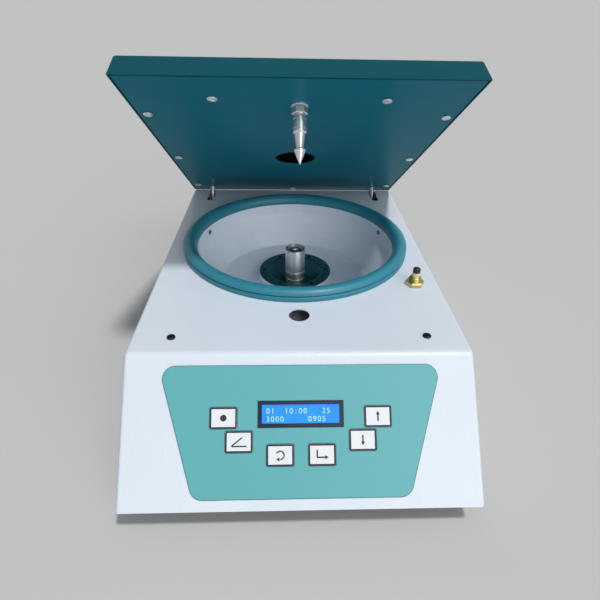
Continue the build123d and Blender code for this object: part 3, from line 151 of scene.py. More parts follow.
class StageLook(bpy.types.PropertyGroup):
    """Camera, floor and light."""

    floor: tint("Floor", "Pale floor and backdrop", (0.54, 0.54, 0.54))
    camera_place: FloatVectorProperty(name="Camera place", description="Where the camera stands",
                                      subtype="TRANSLATION", unit="LENGTH", size=3,
                                      default=(-0.01539, -0.46691, 0.37895))
    pitch: angle("Pitch", "How far the camera looks down", 33.67)
    yaw: angle("Yaw", "How far the camera looks to the right", 2.51)
    roll: angle("Roll", "How far the camera leans", 1.24)
    lens: number("Lens", "Focal length in millimetres", 28.01)
    key_light: number("Key light", "Strength of the light from above", 1.9)
    front_light: number("Front light", "Strength of the light from the front", 1.02)
    sky: number("Sky", "Strength of the light from all round", 0.42)
    low_sky: tint("Low sky", "Light from behind and below", (0.3, 0.32, 0.36))
    floor_reach: length("Floor reach", "Half the width of the floor", 400)


def colours():
    """The finishes' colours as the user has set them."""
    return bpy.context.scene.coat_colours


def sizes():
    """The small detail's sizes as the user has set them."""
    return bpy.context.scene.detail_sizes


# Shader nodes

def add_node(tree, kind, inputs, **settings):
    """A shader node with its settings. Each input is a socket to link or a plain value."""
    node = tree.nodes.new(f"ShaderNode{kind}")
    for name, value in settings.items():
        setattr(node, name, value)
    for label, value in inputs.items():
        if isinstance(value, bpy.types.NodeSocket):
            tree.links.new(value, node.inputs[label])
        else:
            node.inputs[label].default_value = value
    return node


def math_node(tree, operation, first, second, clamp=False):
    """The result of a Math node."""
    return add_node(tree, "Math", {0: first, 1: second}, operation=operation, use_clamp=clamp).outputs[0]


def vector_node(tree, operation, first, second=(0, 0, 0)):
    """A Vector Math node."""
    return add_node(tree, "VectorMath", {0: first, 1: second}, operation=operation)


def noise(tree, vector, scale, detail, roughness):
    """The pattern of a Noise node."""
    return add_node(tree, "TexNoise", {"Vector": vector, "Scale": scale, "Detail": detail,
                                       "Roughness": roughness}).outputs["Fac"]


def ramp(tree, factor, first, second, start=0.0, end=1.0):
    """A colour that runs from one to another."""
    node = add_node(tree, "ValToRGB", {0: factor})
    for element, position, colour in zip(node.color_ramp.elements, (start, end), (first, second)):
        element.position = position
        element.color = (*colour, 1)
    return node.outputs[0]


# Effects that several finishes share, each in a node group of its own

def peel_effect(tree, vector, scale):
    """Rounded bumps of a powder coat, with a slow change of tone."""
    wide = math_node(tree, "DIVIDE", scale, 60.0)
    return (noise(tree, vector, scale, detail=1.5, roughness=0.45),
            noise(tree, vector, wide, detail=3.0, roughness=0.6))


def lathe_effect(tree, vector, scale):
    """Fine rings round the Z axis, as a lathe leaves them."""
    split = add_node(tree, "SeparateXYZ", {0: vector})
    radial = math_node(tree, "MULTIPLY", split.outputs["X"], 0.02)
    rings = add_node(tree, "CombineXYZ", {"X": radial, "Z": split.outputs["Z"]}).outputs[0]
    wide = math_node(tree, "DIVIDE", scale, 14.0)
    return (noise(tree, rings, scale, detail=3.0, roughness=0.7),
            noise(tree, rings, wide, detail=2.0, roughness=0.5))


def grain_effect(tree, vector, scale):
    """Rolled grain of sheet steel, drawn out along X."""
    drawn = add_node(tree, "Mapping", {"Vector": vector, "Scale": (0.04, 1.0, 1.0)}).outputs[0]
    return (noise(tree, drawn, scale, detail=3.0, roughness=0.65),
            noise(tree, vector, 18.0, detail=3.0, roughness=0.55))


def soil_and_sheen_effect(tree, vector, scale, cover):
    """Soft patches where a surface is rubbed, splashed or dusty. In the drum they also carry painted
    reflections of glossy spots.
    """
    patches = noise(tree, vector, scale, detail=5.0, roughness=0.62)
    above = math_node(tree, "SUBTRACT", patches, math_node(tree, "SUBTRACT", 1.0, cover))
    return (math_node(tree, "MULTIPLY", above, 4.0, clamp=True),)


# Name of the group: how it is made, its inputs beside the place, its outputs
effects = {
    "coat_peel": (peel_effect, {"Scale": 450.0}, ("Height", "Tone")),
    "lathe_marks": (lathe_effect, {"Scale": 2500.0}, ("Height", "Tone")),
    "rolled_grain": (grain_effect, {"Scale": 900.0}, ("Height", "Tone")),
    "soil_and_sheen_patches": (soil_and_sheen_effect, {"Scale": 20.0, "Cover": 0.5}, ("Mask",)),
}


def effect_group(name):
    """The shared node group of an effect. It is made on the first call."""
    if name in bpy.data.node_groups:
        return bpy.data.node_groups[name]
    make, numbers, results = effects[name]
    tree = bpy.data.node_groups.new(name, "ShaderNodeTree")
    tree.interface.new_socket("Vector", in_out="INPUT", socket_type="NodeSocketVector")
    for label, value in numbers.items():
        socket = tree.interface.new_socket(label, in_out="INPUT", socket_type="NodeSocketFloat")
        socket.default_value = value
    for label in results:
        tree.interface.new_socket(label, in_out="OUTPUT", socket_type="NodeSocketFloat")
    enter, leave = tree.nodes.new("NodeGroupInput"), tree.nodes.new("NodeGroupOutput")
    made = make(tree, *(enter.outputs[label] for label in ("Vector", *numbers)))
    for label, socket in zip(results, made):
        tree.links.new(socket, leave.inputs[label])
    return tree


class Finish:
    """One material: a Principled shader with plain values, and patterns added by name."""

    def __init__(self, name, colour, roughness, metallic=0.0, specular=0.5, reflection=(1, 1, 1),
                 axis=None, centre=(0, 0, 0)):
        self.material = bpy.data.materials.new(name)
        self.material.use_nodes = True
        self.tree = self.material.node_tree
        self.shader = self.tree.nodes["Principled BSDF"]
        self.colour = tuple(colour)
        self.put({"Base Color": (*self.colour, 1), "Roughness": roughness, "Metallic": metallic,
                  "Specular IOR Level": specular, "Specular Tint": (*reflection, 1)})
        self.vector = add_node(self.tree, "TexCoord", {}).outputs["Object"]
        if axis is not None:
            turned = {"Vector": self.vector, "Location": centre, "Rotation": axis}
            self.vector = add_node(self.tree, "Mapping", turned, vector_type="TEXTURE").outputs[0]

    def put(self, values):
        """Set plain values on the shader's own sockets."""
        for socket, value in values.items():
            self.shader.inputs[socket].default_value = value

    def feed(self, socket, output):
        """Link a node's output to one of the shader's sockets."""
        self.tree.links.new(output, self.shader.inputs[socket])

    def pattern(self, name, **values):
        """Place a shared effect and return its outputs."""
        inputs = {"Vector": self.vector, **values}
        return add_node(self.tree, "Group", inputs, node_tree=effect_group(name)).outputs

    def bump(self, height, strength, distance):
        """Feed a height to the shader's normal."""
        inputs = {"Height": height, "Strength": strength, "Distance": distance}
        self.feed("Normal", add_node(self.tree, "Bump", inputs).outputs[0])

    def spread(self, factor, low, high, start=0.3, end=0.7):
        """Let the roughness run between two values."""
        inputs = {"Value": factor, "From Min": start, "From Max": end, "To Min": low, "To Max": high}
        self.feed("Roughness", add_node(self.tree, "MapRange", inputs).outputs[0])

    def shade(self, factor, other, start=0.3, end=0.7):
        """Let the base colour run to another colour."""
        self.feed("Base Color", ramp(self.tree, factor, self.colour, other, start, end))

    def cover(self, mask, other):
        """Lay another colour over the shaded base colour where the mask is 1."""
        under = self.shader.inputs["Base Color"].links[0].from_socket
        inputs = {0: mask, 6: under, 7: (*other, 1)}
        self.feed("Base Color", add_node(self.tree, "Mix", inputs, data_type="RGBA").outputs[2])


def darker(colour, share):
    """A share of a colour."""
    return tuple(c * share for c in colour)


def powder_coat(name, colour, peel, roughness, strength, specular=0.5, reflection=(1, 1, 1)):
    """Powder coat with orange peel and a slow change of tone."""
    finish = Finish(name, colour, roughness, specular=specular, reflection=reflection)
    bumps = finish.pattern("coat_peel", Scale=1 / peel)
    finish.bump(bumps["Height"], strength, peel * 0.25)
    finish.spread(bumps["Tone"], roughness - 0.02, roughness + 0.03)
    finish.shade(bumps["Tone"], darker(colour, 0.95))
    return finish


def turned_metal(name, colour, roughness, axis=(0, 0, 0), centre=(0, 0, 0), scale=2500.0,
                 strength=0.25, drawn=0.0):
    """Metal with lathe rings round one axis. Drawn is how far they draw out its reflections."""
    finish = Finish(name, colour, roughness, metallic=1.0, axis=axis, centre=centre)
    rings = finish.pattern("lathe_marks", Scale=scale)
    finish.bump(rings["Height"], strength, 0.1 * mm)
    finish.spread(rings["Height"], roughness - 0.08, roughness + 0.12)
    finish.shade(rings["Tone"], darker(colour, 0.86))
    if drawn:
        finish.put({"Anisotropic": drawn, "Anisotropic Rotation": 0.25})
    return finish


def metal_with_painted_recess_shade(name, colour, roughness, centre, recess, recess_shade):
    """Turned metal whose recess round the axis is painted dark, as painted shade in the recess."""
    finish = turned_metal(name, colour, roughness, centre=centre, strength=0.08, drawn=0.85)
    flat = vector_node(finish.tree, "MULTIPLY", finish.vector, (1, 1, 0)).outputs["Vector"]
    reach = vector_node(finish.tree, "LENGTH", flat).outputs["Value"]
    # Painted shade: inside the recess radius the colour turns near black
    finish.cover(math_node(finish.tree, "LESS_THAN", reach, recess), recess_shade)
    return finish


def rolled_metal(name, colour, roughness, strength=0.2):
    """Sheet metal with rolled grain."""
    finish = Finish(name, colour, roughness, metallic=1.0)
    grain = finish.pattern("rolled_grain", Scale=900.0)
    finish.bump(grain["Height"], strength, 0.08 * mm)
    finish.spread(grain["Height"], roughness - 0.07, roughness + 0.1)
    finish.shade(grain["Tone"], darker(colour, 0.84))
    return finish


def moulded(name, colour, roughness, scale=1800.0, strength=0.15, soil=0.35, mottle=1.0):
    """Moulded plastic or rubber with a fine skin and a little dust."""
    finish = Finish(name, colour, roughness)
    skin = finish.pattern("coat_peel", Scale=scale)
    dust = finish.pattern("soil_and_sheen_patches", Scale=45.0, Cover=soil)
    finish.bump(skin["Height"], strength, 0.12 * mm)
    finish.spread(skin["Tone"], roughness - 0.06 * mottle, roughness + 0.08 * mottle)
    finish.shade(dust["Mask"], tuple(c * 0.9 + 0.012 for c in colour), 0.0, 1.0)
    return finish


def make_finishes():
    """All materials, by name."""
    c = colours()
    peel = sizes().peel
    lid_turn = (-sizes().open_angle, 0, 0)
    spindle = (spindle_x, spindle_y, 0)
    teal = {"specular": 0.06, "reflection": c.reflection}
    print_skin = {"scale": 2500.0, "strength": 0.08, "mottle": 0.3}
    ink_skin = {"scale": 2500.0, "strength": 0.04, "soil": 0.1}
    made = {
        "housing": powder_coat("white_coat", c.housing, peel, 0.36, 0.3),
        # Painted light: the drum's coat is the housing's white, painted lighter
        "drum": powder_coat("drum_coat_painted_lighter", c.drum, peel, 0.4, 0.2),
        "lid": powder_coat("lid_coat", c.lid, peel * 0.8, 0.4, 0.16, **teal),
        "plate": powder_coat("plate_gloss", c.plate, peel * 1.4, 0.36, 0.08, **teal),
        "boot": powder_coat("boot_coat", c.boot, peel, 0.32, 0.12, reflection=c.reflection),
        "ring": moulded("ring_rubber", c.ring, 0.42, scale=1500.0, strength=0.1, soil=0.25),
        "foil": moulded("foil_print", c.foil, 0.38, soil=0.2, **print_skin),
        "key": moulded("key_white", c.key, 0.4, soil=0.1, **print_skin),
        "ink": moulded("ink_dark", c.ink, 0.45, **ink_skin),
        "edge_ink": moulded("edge_ink", c.edge_ink, 0.45, **ink_skin),
        "steel": metal_with_painted_recess_shade("spindle_steel", c.steel, 0.36, spindle, sizes().recess, c.recess),
        "pin": turned_metal("pin_steel", c.steel, 0.34, axis=lid_turn, centre=tuple(hinge["pos_m"]),
                            strength=0.1, drawn=0.8),
        "bearing": turned_metal("bearing_steel", c.steel, 0.3, centre=spindle, strength=0.1),
        "shaft": turned_metal("shaft_steel", c.steel, 0.3, axis=(0, pi / 2, 0)),
        "zinc": rolled_metal("zinc_plate", c.zinc, 0.38),
        "aluminium": rolled_metal("motor_aluminium", c.aluminium, 0.36),
        "core": rolled_metal("core_steel", c.zinc, 0.5),
        "black_steel": rolled_metal("black_steel", c.black, 0.4),
        "rivet": rolled_metal("rivet_steel", c.rivet, 0.4),
        "screw": rolled_metal("screw_plate", c.steel, 0.36, strength=0.08),
        "brass": turned_metal("switch_brass", c.brass, 0.36, scale=1800.0, strength=0.12),
        "bezel": moulded("display_bezel", c.bezel, 0.3, strength=0.08, soil=0.2),
        "cream": moulded("cream_plastic", c.cream, 0.4),
        "plastic": moulded("black_plastic", c.plastic, 0.34),
        "rubber": moulded("black_rubber", c.rubber, 0.6),
        "board": moulded("board_green", c.board, 0.4),
        "display": Finish("display_lit", c.display, 0.12),
        "digits": Finish("display_digits", c.digit, 0.3),
        "window": Finish("smoked_window", c.smoke, 0.05),
    }
    drum, dial, digits, window = (made[name] for name in ("drum", "display", "digits", "window"))
    # Lighter patches in the drum: dusty smears and painted reflections of glossy spots
    drum.cover(drum.pattern("soil_and_sheen_patches", Scale=26.0, Cover=0.46)["Mask"], c.smears_and_sheen)
    glow = dial.pattern("coat_peel", Scale=60.0)["Height"]
    dial.feed("Emission Color", ramp(dial.tree, glow, darker(c.display, 0.75), c.glow))
    dial.put({"Emission Strength": 1.0})
    digits.put({"Emission Color": (*c.digit_glow, 1), "Emission Strength": 0.7})
    window.put({"Transmission Weight": 0.6})
    haze = window.pattern("soil_and_sheen_patches", Scale=60.0, Cover=0.4)["Mask"]
    window.spread(haze, 0.04, 0.12, 0.0, 1.0)
    return {name: finish.material for name, finish in made.items()}


finishes = {}


def finish_for(name):
    """A material by name. All of them are made on the first call."""
    if not finishes:
        finishes.update(make_finishes())
    return finishes[name]


# Modelling helpers

def place(origin, turn=None):
    """A matrix from a place and a rotation."""
    spot = Matrix.Translation(Vector(origin))
    return spot if turn is None else spot @ turn


def panel_frame():
    """Local X to the right, Y up the sloped panel and Z out of it, from the middle of the fold."""
    s = sizes()
    slope = atan2(s.panel_drop, s.panel_run)
    return place((0, cover_low.y + s.panel_run, cover_high.z), Matrix.Rotation(slope, 4, "X"))


def lid_frame():
    """Local Y to the back and Z out of the lid's underside, over the hinge axis."""
    turn = Matrix.Rotation(-sizes().open_angle, 4, "X")
    return place(hinge["pos_m"], turn) @ Matrix.Translation((0, 0, sizes().lid_rise))


def near(r, z, *steps):
    """Points of an outline, in millimetres from a radius and a height."""
    return [(r + out * mm, z + up * mm) for out, up in steps]


def spin_ring(bm, outline, where, steps):
    """Turn an outline of radius and height into a body round the local Z axis. An outline that
    starts off the axis is closed."""
    points = [bm.verts.new((r, 0, z)) for r, z in outline]
    edges = [bm.edges.new(pair) for pair in zip(points, points[1:])]
    if outline[0][0] > 0:
        edges.append(bm.edges.new((points[-1], points[0])))
    before = set(bm.verts) - set(points)
    bmesh.ops.spin(bm, geom=points + edges, cent=(0, 0, 0), axis=(0, 0, 1), angle=2 * pi,
                   steps=steps, use_merge=True)
    bmesh.ops.remove_doubles(bm, verts=[v for v in bm.verts if v not in before], dist=1e-7)
    bmesh.ops.transform(bm, matrix=where, verts=[v for v in bm.verts if v not in before])


def turned(where, *bodies):
    """A bmesh of bodies round one axis, each from its outline and its number of facets."""
    bm = bmesh.new()
    for outline, steps in bodies:
        spin_ring(bm, outline, where, steps)
    return bm


def add_object(name, data):
    """An object of the scene."""
    thing = bpy.data.objects.new(name, data)
    bpy.context.scene.collection.objects.link(thing)
    return thing


def add_mesh(bm, name, material):
    """An object of the scene from a finished bmesh."""
    mesh = bpy.data.meshes.new(name)
    bm.to_mesh(mesh)
    bm.free()
    mesh.materials.append(material)
    return add_object(name, mesh)


def finish_piece(bm, name, body, finish, sharp=32, swaps=(), levels=0):
    """Make the object of a finished bmesh and let it ride on its body."""
    bmesh.ops.recalc_face_normals(bm, faces=bm.faces[:])
    limit = radians(sharp)
    for face in bm.faces:
        face.smooth = True
    for edge in bm.edges:
        edge.smooth = len(edge.link_faces) == 2 and edge.calc_face_angle(0) < limit
    piece = add_mesh(bm, name, finish_for(finish))
    if levels:
        smooth = piece.modifiers.new("Smooth", "SUBSURF")
        smooth.levels = smooth.render_levels = levels
    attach(piece, body)
    if swaps:
        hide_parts(*swaps)


def cross_head(bm, radius, height, where):
    """A domed screw head with a cross recess, standing on local z = 0."""
    start = set(bm.verts)
    across = 5
    half = radius * 0.6
    cell = 2 * half / across
    grid = bmesh.ops.create_grid(bm, x_segments=across, y_segments=across, size=half,
                                 matrix=place((0, 0, height)))
    cells = dict.fromkeys(f for v in grid["verts"] for f in v.link_faces)
    border = [e for f in cells for e in f.edges if len(e.link_faces) == 1]
    cross = [f for f in cells if min(map(abs, f.calc_center_median().xy)) < cell / 2]
    rim = bmesh.ops.create_circle(bm, segments=4 * across, radius=radius * 0.88,
                                  matrix=place((0, 0, height * 0.8), Matrix.Rotation(pi / 4, 4, "Z")))
    edge = list(dict.fromkeys(e for v in rim["verts"] for e in v.link_edges))
    bmesh.ops.bridge_loops(bm, edges=[*border, *edge])
    sunk = bmesh.ops.extrude_face_region(bm, geom=cross)
    low = [g for g in sunk["geom"] if isinstance(g, bmesh.types.BMVert)]
    bmesh.ops.delete(bm, geom=[f for f in cross if f.is_valid], context="FACES_ONLY")
    bmesh.ops.translate(bm, verts=low, vec=(0, 0, -height * 0.7))
    bmesh.ops.scale(bm, verts=low, vec=(0.72, 0.72, 1))
    for level in (height * 0.45, 0.0):
        out = bmesh.ops.extrude_edge_only(bm, edges=edge)
        ring = [g for g in out["geom"] if isinstance(g, bmesh.types.BMVert)]
        edge = [g for g in out["geom"] if isinstance(g, bmesh.types.BMEdge)
                and all(v in ring for v in g.verts)]
        grow = radius / ring[0].co.xy.length
        bmesh.ops.scale(bm, verts=ring, vec=(grow, grow, 1))
        bmesh.ops.translate(bm, verts=ring, vec=(0, 0, level - ring[0].co.z))
    bmesh.ops.holes_fill(bm, edges=edge, sides=0)
    bmesh.ops.transform(bm, matrix=where, verts=[v for v in bm.verts if v not in start])


def shank(bm, radius, depth, where):
    """The plain shank of a screw, below local z = 0."""
    spin_ring(bm, [(0, 0), (radius, 0), (radius, -depth), (0, -depth)], where, 16)


def flat_box(bm, width, height, where):
    """A flat rectangle in local X and Y."""
    made = bmesh.ops.create_grid(bm, x_segments=1, y_segments=1, size=0.5)
    bmesh.ops.transform(bm, matrix=where @ Matrix.Diagonal((width, height, 1, 1)), verts=made["verts"])
    return made["verts"]


def edge_band(bm, faces, width):
    """Keep only a band along the outline of some flat faces."""
    bmesh.ops.inset_region(bm, faces=faces, thickness=width, use_boundary=True, use_even_offset=True)
    bmesh.ops.delete(bm, geom=faces, context="FACES")


def lay_print(bm, where):
    """Lift flat print over its surface and give it a small thickness below its face."""
    lift = sizes().print_lift
    bmesh.ops.transform(bm, matrix=where @ place((0, 0, lift)), verts=bm.verts[:])
    made = bmesh.ops.extrude_face_region(bm, geom=bm.faces[:])
    verts = [g for g in made["geom"] if isinstance(g, bmesh.types.BMVert)]
    bmesh.ops.translate(bm, verts=verts, vec=where.to_3x3() @ Vector((0, 0, -lift)))


def packed(node):
    """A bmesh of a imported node."""
    bm = bmesh.new()
    bm.from_mesh(frame["nodes"][node].data)
    return bm


def bounds_in(points, where):
    """Lowest and highest corner of some points, seen in a local frame."""
    turn = where.inverted()
    local = [turn @ p for p in points]
    return (Vector([min(p[i] for p in local) for i in range(3)]),
            Vector([max(p[i] for p in local) for i in range(3)]))


def span(node, where):
    """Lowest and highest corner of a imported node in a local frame."""
    return bounds_in([v.co for v in frame["nodes"][node].data.vertices], where)


def islands(node, where):
    """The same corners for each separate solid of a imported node."""
    bm = packed(node)
    bmesh.ops.remove_doubles(bm, verts=bm.verts[:], dist=1e-6)
    seen = set()
    found = []
    for first in bm.verts:
        if first in seen:
            continue
        seen.add(first)
        solid = [first]
        for vert in solid:
            joined = [edge.other_vert(vert) for edge in vert.link_edges]
            solid += [other for other in joined if other not in seen]
            seen.update(joined)
        found.append(bounds_in([v.co for v in solid], where))
    bm.free()
    return found


def on_surface(node, start, towards):
    """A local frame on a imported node's surface, with Z along its normal."""
    bm = packed(node)
    hit, normal = BVHTree.FromBMesh(bm).ray_cast(Vector(start), Vector(towards))[:2]
    bm.free()
    if hit is None:
        raise RuntimeError(f"nothing of {node} lies there")
    side = Vector((1, 0, 0))
    top = normal.cross(side).normalized()
    return place(hit, Matrix((side, top, normal)).transposed().to_4x4())


def middle(low, high):
    """The point halfway between two corners."""
    return (low + high) / 2


def spindle_frame():
    """Local Z along the spindle, from the bench."""
    return place((spindle_x, spindle_y, 0))


class CENTRIFUGE_OT_rim_ring(bpy.types.Operator):
    """Model the rubber ring round the drum: a base, a groove and a rounded roll"""

    bl_idname = "centrifuge.rim_ring"
    bl_label = "Rim ring"

    def execute(self, context):
        low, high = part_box("rim_gasket")
        bowl_low, bowl_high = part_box("chamber_bowl")
        outer = (high.x - low.x) / 2
        inner = outer - 15.6 * mm
        flange = (bowl_high.x - bowl_low.x) / 2 + 0.3 * mm
        roll = (outer - inner) / 2
        centre = outer - roll
        groove = low.z + 6.3 * mm
        shoulder = groove + 1.0 * mm
        outline = [(inner, bowl_high.z), (flange, bowl_high.z), (flange, low.z)]
        outline += near(outer, low.z, (-1.2, 0), (-0.35, 0.35), (0, 1.2))
        outline += near(outer, groove, (0, -1.4), (-0.4, -0.75), (-2.2, -0.4), (-2.2, 0.2))
        outline += near(outer, shoulder, (-0.3, -0.3))
        arc = 14
        for step in range(arc + 1):
            turn = pi * step / arc
            bulge = high.z - (shoulder if step <= arc / 2 else bowl_high.z + 1.6 * mm)
            outline.append((centre + roll * cos(turn), high.z - bulge + bulge * sin(turn)))
        bm = turned(spindle_frame(), (outline, sizes().ring_steps))
        finish_piece(bm, "rim_ring", "housing", "ring", sharp=50, swaps=["rim_gasket"])
        return {"FINISHED"}


class CENTRIFUGE_OT_spindle(bpy.types.Operator):
    """Turn the rotor spindle with its grooves and its recessed top"""

    bl_idname = "centrifuge.spindle"
    bl_label = "Spindle"

    grooves = (28.7 * mm, 38.2 * mm)

    def execute(self, context):
        radius = (spindle_high.x - spindle_low.x) / 2
        top, base = spindle_high.z, spindle_low.z
        recess, bore, screw_hole = 9.4 * mm, 6.03 * mm, 3.1 * mm
        outline = [(bore, base), *near(radius, base, (-0.5, 0), (0, 0.5))]
        for drop in reversed(self.grooves):
            outline += near(radius, top - drop - 1.6 * mm, (0, -0.25), (-0.25, 0), (-1.2, 0.2))
            outline += near(radius, top - drop, (-1.2, -0.2), (-0.25, 0), (0, 0.25))
        outline += near(radius, top, (0, -0.8), (-0.25, -0.22), (-0.8, 0))
        outline += near(recess, top, (0.4, 0), (0, -0.4), (0, -3.6), (-0.4, -4))
        outline += near(screw_hole, top, (0, -4), (0, -9.9)) + near(bore, top, (0, -9.9))
        bm = turned(spindle_frame(), (outline, sizes().turned_steps))
        finish_piece(bm, "turned_spindle", "rotor", "steel", swaps=["rotor_spindle"])
        return {"FINISHED"}


class CENTRIFUGE_OT_latch_pin(bpy.types.Operator):
    """Turn the latch pin: stud, ringed body, long neck and cone head"""

    bl_idname = "centrifuge.latch_pin"
    bl_label = "Latch pin"

    def execute(self, context):
        lid = lid_frame()
        low, high = span("latch_pin", lid)
        spot = middle(low, high)
        where = lid @ place((spot.x, spot.y, 0), flip)
        tip = -low.z
        stud, body, neck, head = 4.0 * mm, 6.3 * mm, 3.6 * mm, 5.3 * mm
        outline = [(0, -high.z), *near(stud, -high.z, (-0.6, 0), (0, 0.6))]
        outline += near(stud, 0, (0, 9.2), (0.2, 9.6)) + near(body, 0, (-0.5, 9.6), (0, 10.1))
        for groove in (12.2 * mm, 20.4 * mm):
            outline += near(body, groove, (0, 0), (-0.5, 0.3), (-0.5, 0.9), (0, 1.2))
        outline += near(body, 0, (0, 23.6), (-0.35, 24.2), (-1.0, 24.9))
        outline += near(neck, 0, (0.7, 31), (0, 36.5), (0, 38.0), (0.4, 38.4))
        outline += near(head, 0, (-0.5, 38.9), (0, 39.5), (-0.1, 40.1))
        outline += near(0, tip, (0.5, -0.3), (0, 0))
        bm = turned(where, (outline, sizes().turned_steps))
        finish_piece(bm, "turned_latch_pin", "lid", "pin", sharp=28, swaps=["latch_pin"])
        self.nut(lid, spot)
        return {"FINISHED"}

    def nut(self, lid, spot):
        """A round washer and a chamfered hexagon nut at the foot of the pin."""
        low, high = span("latch_pin_nut", lid)
        where = lid @ place((spot.x, spot.y, high.z), flip)
        washer, bore, corner, seat = (high.x - low.x) / 2, 4.15 * mm, 7.5 * mm, 1.5 * mm
        depth = high.z - low.z
        disc = [(bore, 0), *near(washer, 0, (0, 0), (0, 1.1), (-0.3, 1.5)), (bore, seat)]
        hexagon = [(bore, seat), *near(corner, 0, (-0.6, 1.5), (0, 2.0))]
        hexagon += [*near(corner, depth, (0, -0.7), (-0.8, 0)), (bore, depth)]
        bm = turned(where, (disc, 32), (hexagon, 6))
        finish_piece(bm, "pin_nut", "lid", "screw", swaps=["latch_pin_nut"])


class CENTRIFUGE_OT_lid_switch(bpy.types.Operator):
    """Model the threaded brass barrel of the lid switch, its nut and its cap"""

    bl_idname = "centrifuge.lid_switch"
    bl_label = "Lid switch"

    def execute(self, context):
        low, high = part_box("switch_bushing")
        spot = middle(low, high)
        where = place((spot.x, spot.y, 0))
        bore, thread = 4.3 * mm, 6.0 * mm
        pitch = sizes().thread_pitch
        outline = [(bore, low.z), (thread - 0.6 * mm, low.z)]
        level = low.z + 0.5 * mm
        while level < high.z - 1.2 * mm:
            outline += [(thread, level + pitch * 0.35), (thread, level + pitch * 0.45)]
            outline += [(thread - 0.55 * mm, level + pitch * 0.8)]
            level += pitch
        outline += [*near(thread, high.z, (-0.5, -0.5), (-1.0, 0)), (bore, high.z)]
        under = near(thread, cover_high.z, (0, -4.2), (3.8, -4.2), (3.8, -1.2), (0, -1.2))
        bm = turned(where, (outline, 48), (under, 6))
        finish_piece(bm, "switch_barrel", "housing", "brass", sharp=25, swaps=["switch_bushing"])

        low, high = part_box("switch_nut")
        corner = (high.x - low.x) / 2
        hexagon = near(thread, low.z, (0.1, 0)) + near(corner, low.z, (-0.5, 0), (0, 0.4))
        hexagon += near(corner, high.z, (0, -0.9), (-1.1, 0)) + near(thread, high.z, (0.9, 0), (0.1, -0.7))
        bm = turned(where, (hexagon, 6))
        finish_piece(bm, "barrel_nut", "housing", "brass", sharp=20, swaps=["switch_nut"])

        low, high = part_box("switch_cap")
        cap = (high.x - low.x) / 2
        dome = [(0, low.z), *near(cap, low.z, (-0.3, 0), (0, 0.3))]
        dome += [*near(cap, high.z, (0, -1.5), (-0.4, -0.6), (-1.3, -0.1)), (0, high.z)]
        bm = turned(where, (dome, 32))
        finish_piece(bm, "plunger_cap", "lid_plunger", "plastic", sharp=50,
                     swaps=["switch_cap"])
        return {"FINISHED"}


class CENTRIFUGE_OT_screws(bpy.types.Operator):
    """Give the screws domed heads with cross recesses"""

    bl_idname = "centrifuge.screws"
    bl_label = "Screws"

    def execute(self, context):
        lid = lid_frame()
        level = span("lid_inner_plate", lid)[0].z
        bm = bmesh.new()
        for index, (low, high) in enumerate(islands("lid_screws", lid)):
            spot = middle(low, high)
            where = lid @ place((spot.x, spot.y, level), flip @ Matrix.Rotation(0.9 * index, 4, "Z"))
            cross_head(bm, (high.x - low.x) / 2, level - low.z, where)
            shank(bm, 2.0 * mm, high.z - level, where)
        finish_piece(bm, "lid_cross_screws", "lid", "screw", sharp=60,
                     swaps=["lid_screws"], levels=1)
        self.housing_screws("cover_screws", "cover_cross_screws", "black_steel", "black_steel")
        self.housing_screws("rear_panel_screws", "rear_cross_screws", "black_steel", "black_steel")
        self.housing_screws("boot_screws", "boot_cross_screws", "plain_steel", "black_steel")
        return {"FINISHED"}

    def housing_screws(self, node, name, slot, finish):
        """Screws of the housing. Each one's axis is the side left over when two sides are equal."""
        bm = bmesh.new()
        for index, (low, high) in enumerate(islands(node, Matrix.Identity(4))):
            size = high - low
            axis = min(range(3), key=lambda i: abs(size[i - 1] - size[i - 2]))
            head = size[axis - 1] / 2
            height = min(2.0 * mm, head * 0.5)
            base = middle(low, high)
            front = Vector((0, 0, 0))
            front[axis] = -1 if axis == 0 and base.x < 0 else 1
            end = high if front[axis] > 0 else low
            base[axis] = end[axis] - front[axis] * height
            turn = front.to_track_quat("Z", "Y").to_matrix().to_4x4()
            where = place(base, turn @ Matrix.Rotation(0.7 * index, 4, "Z"))
            cross_head(bm, head, height, where)
            shank(bm, head / 2, size[axis] - height, where)
        finish_piece(bm, name, "housing", finish, sharp=60, swaps=[node], levels=1)


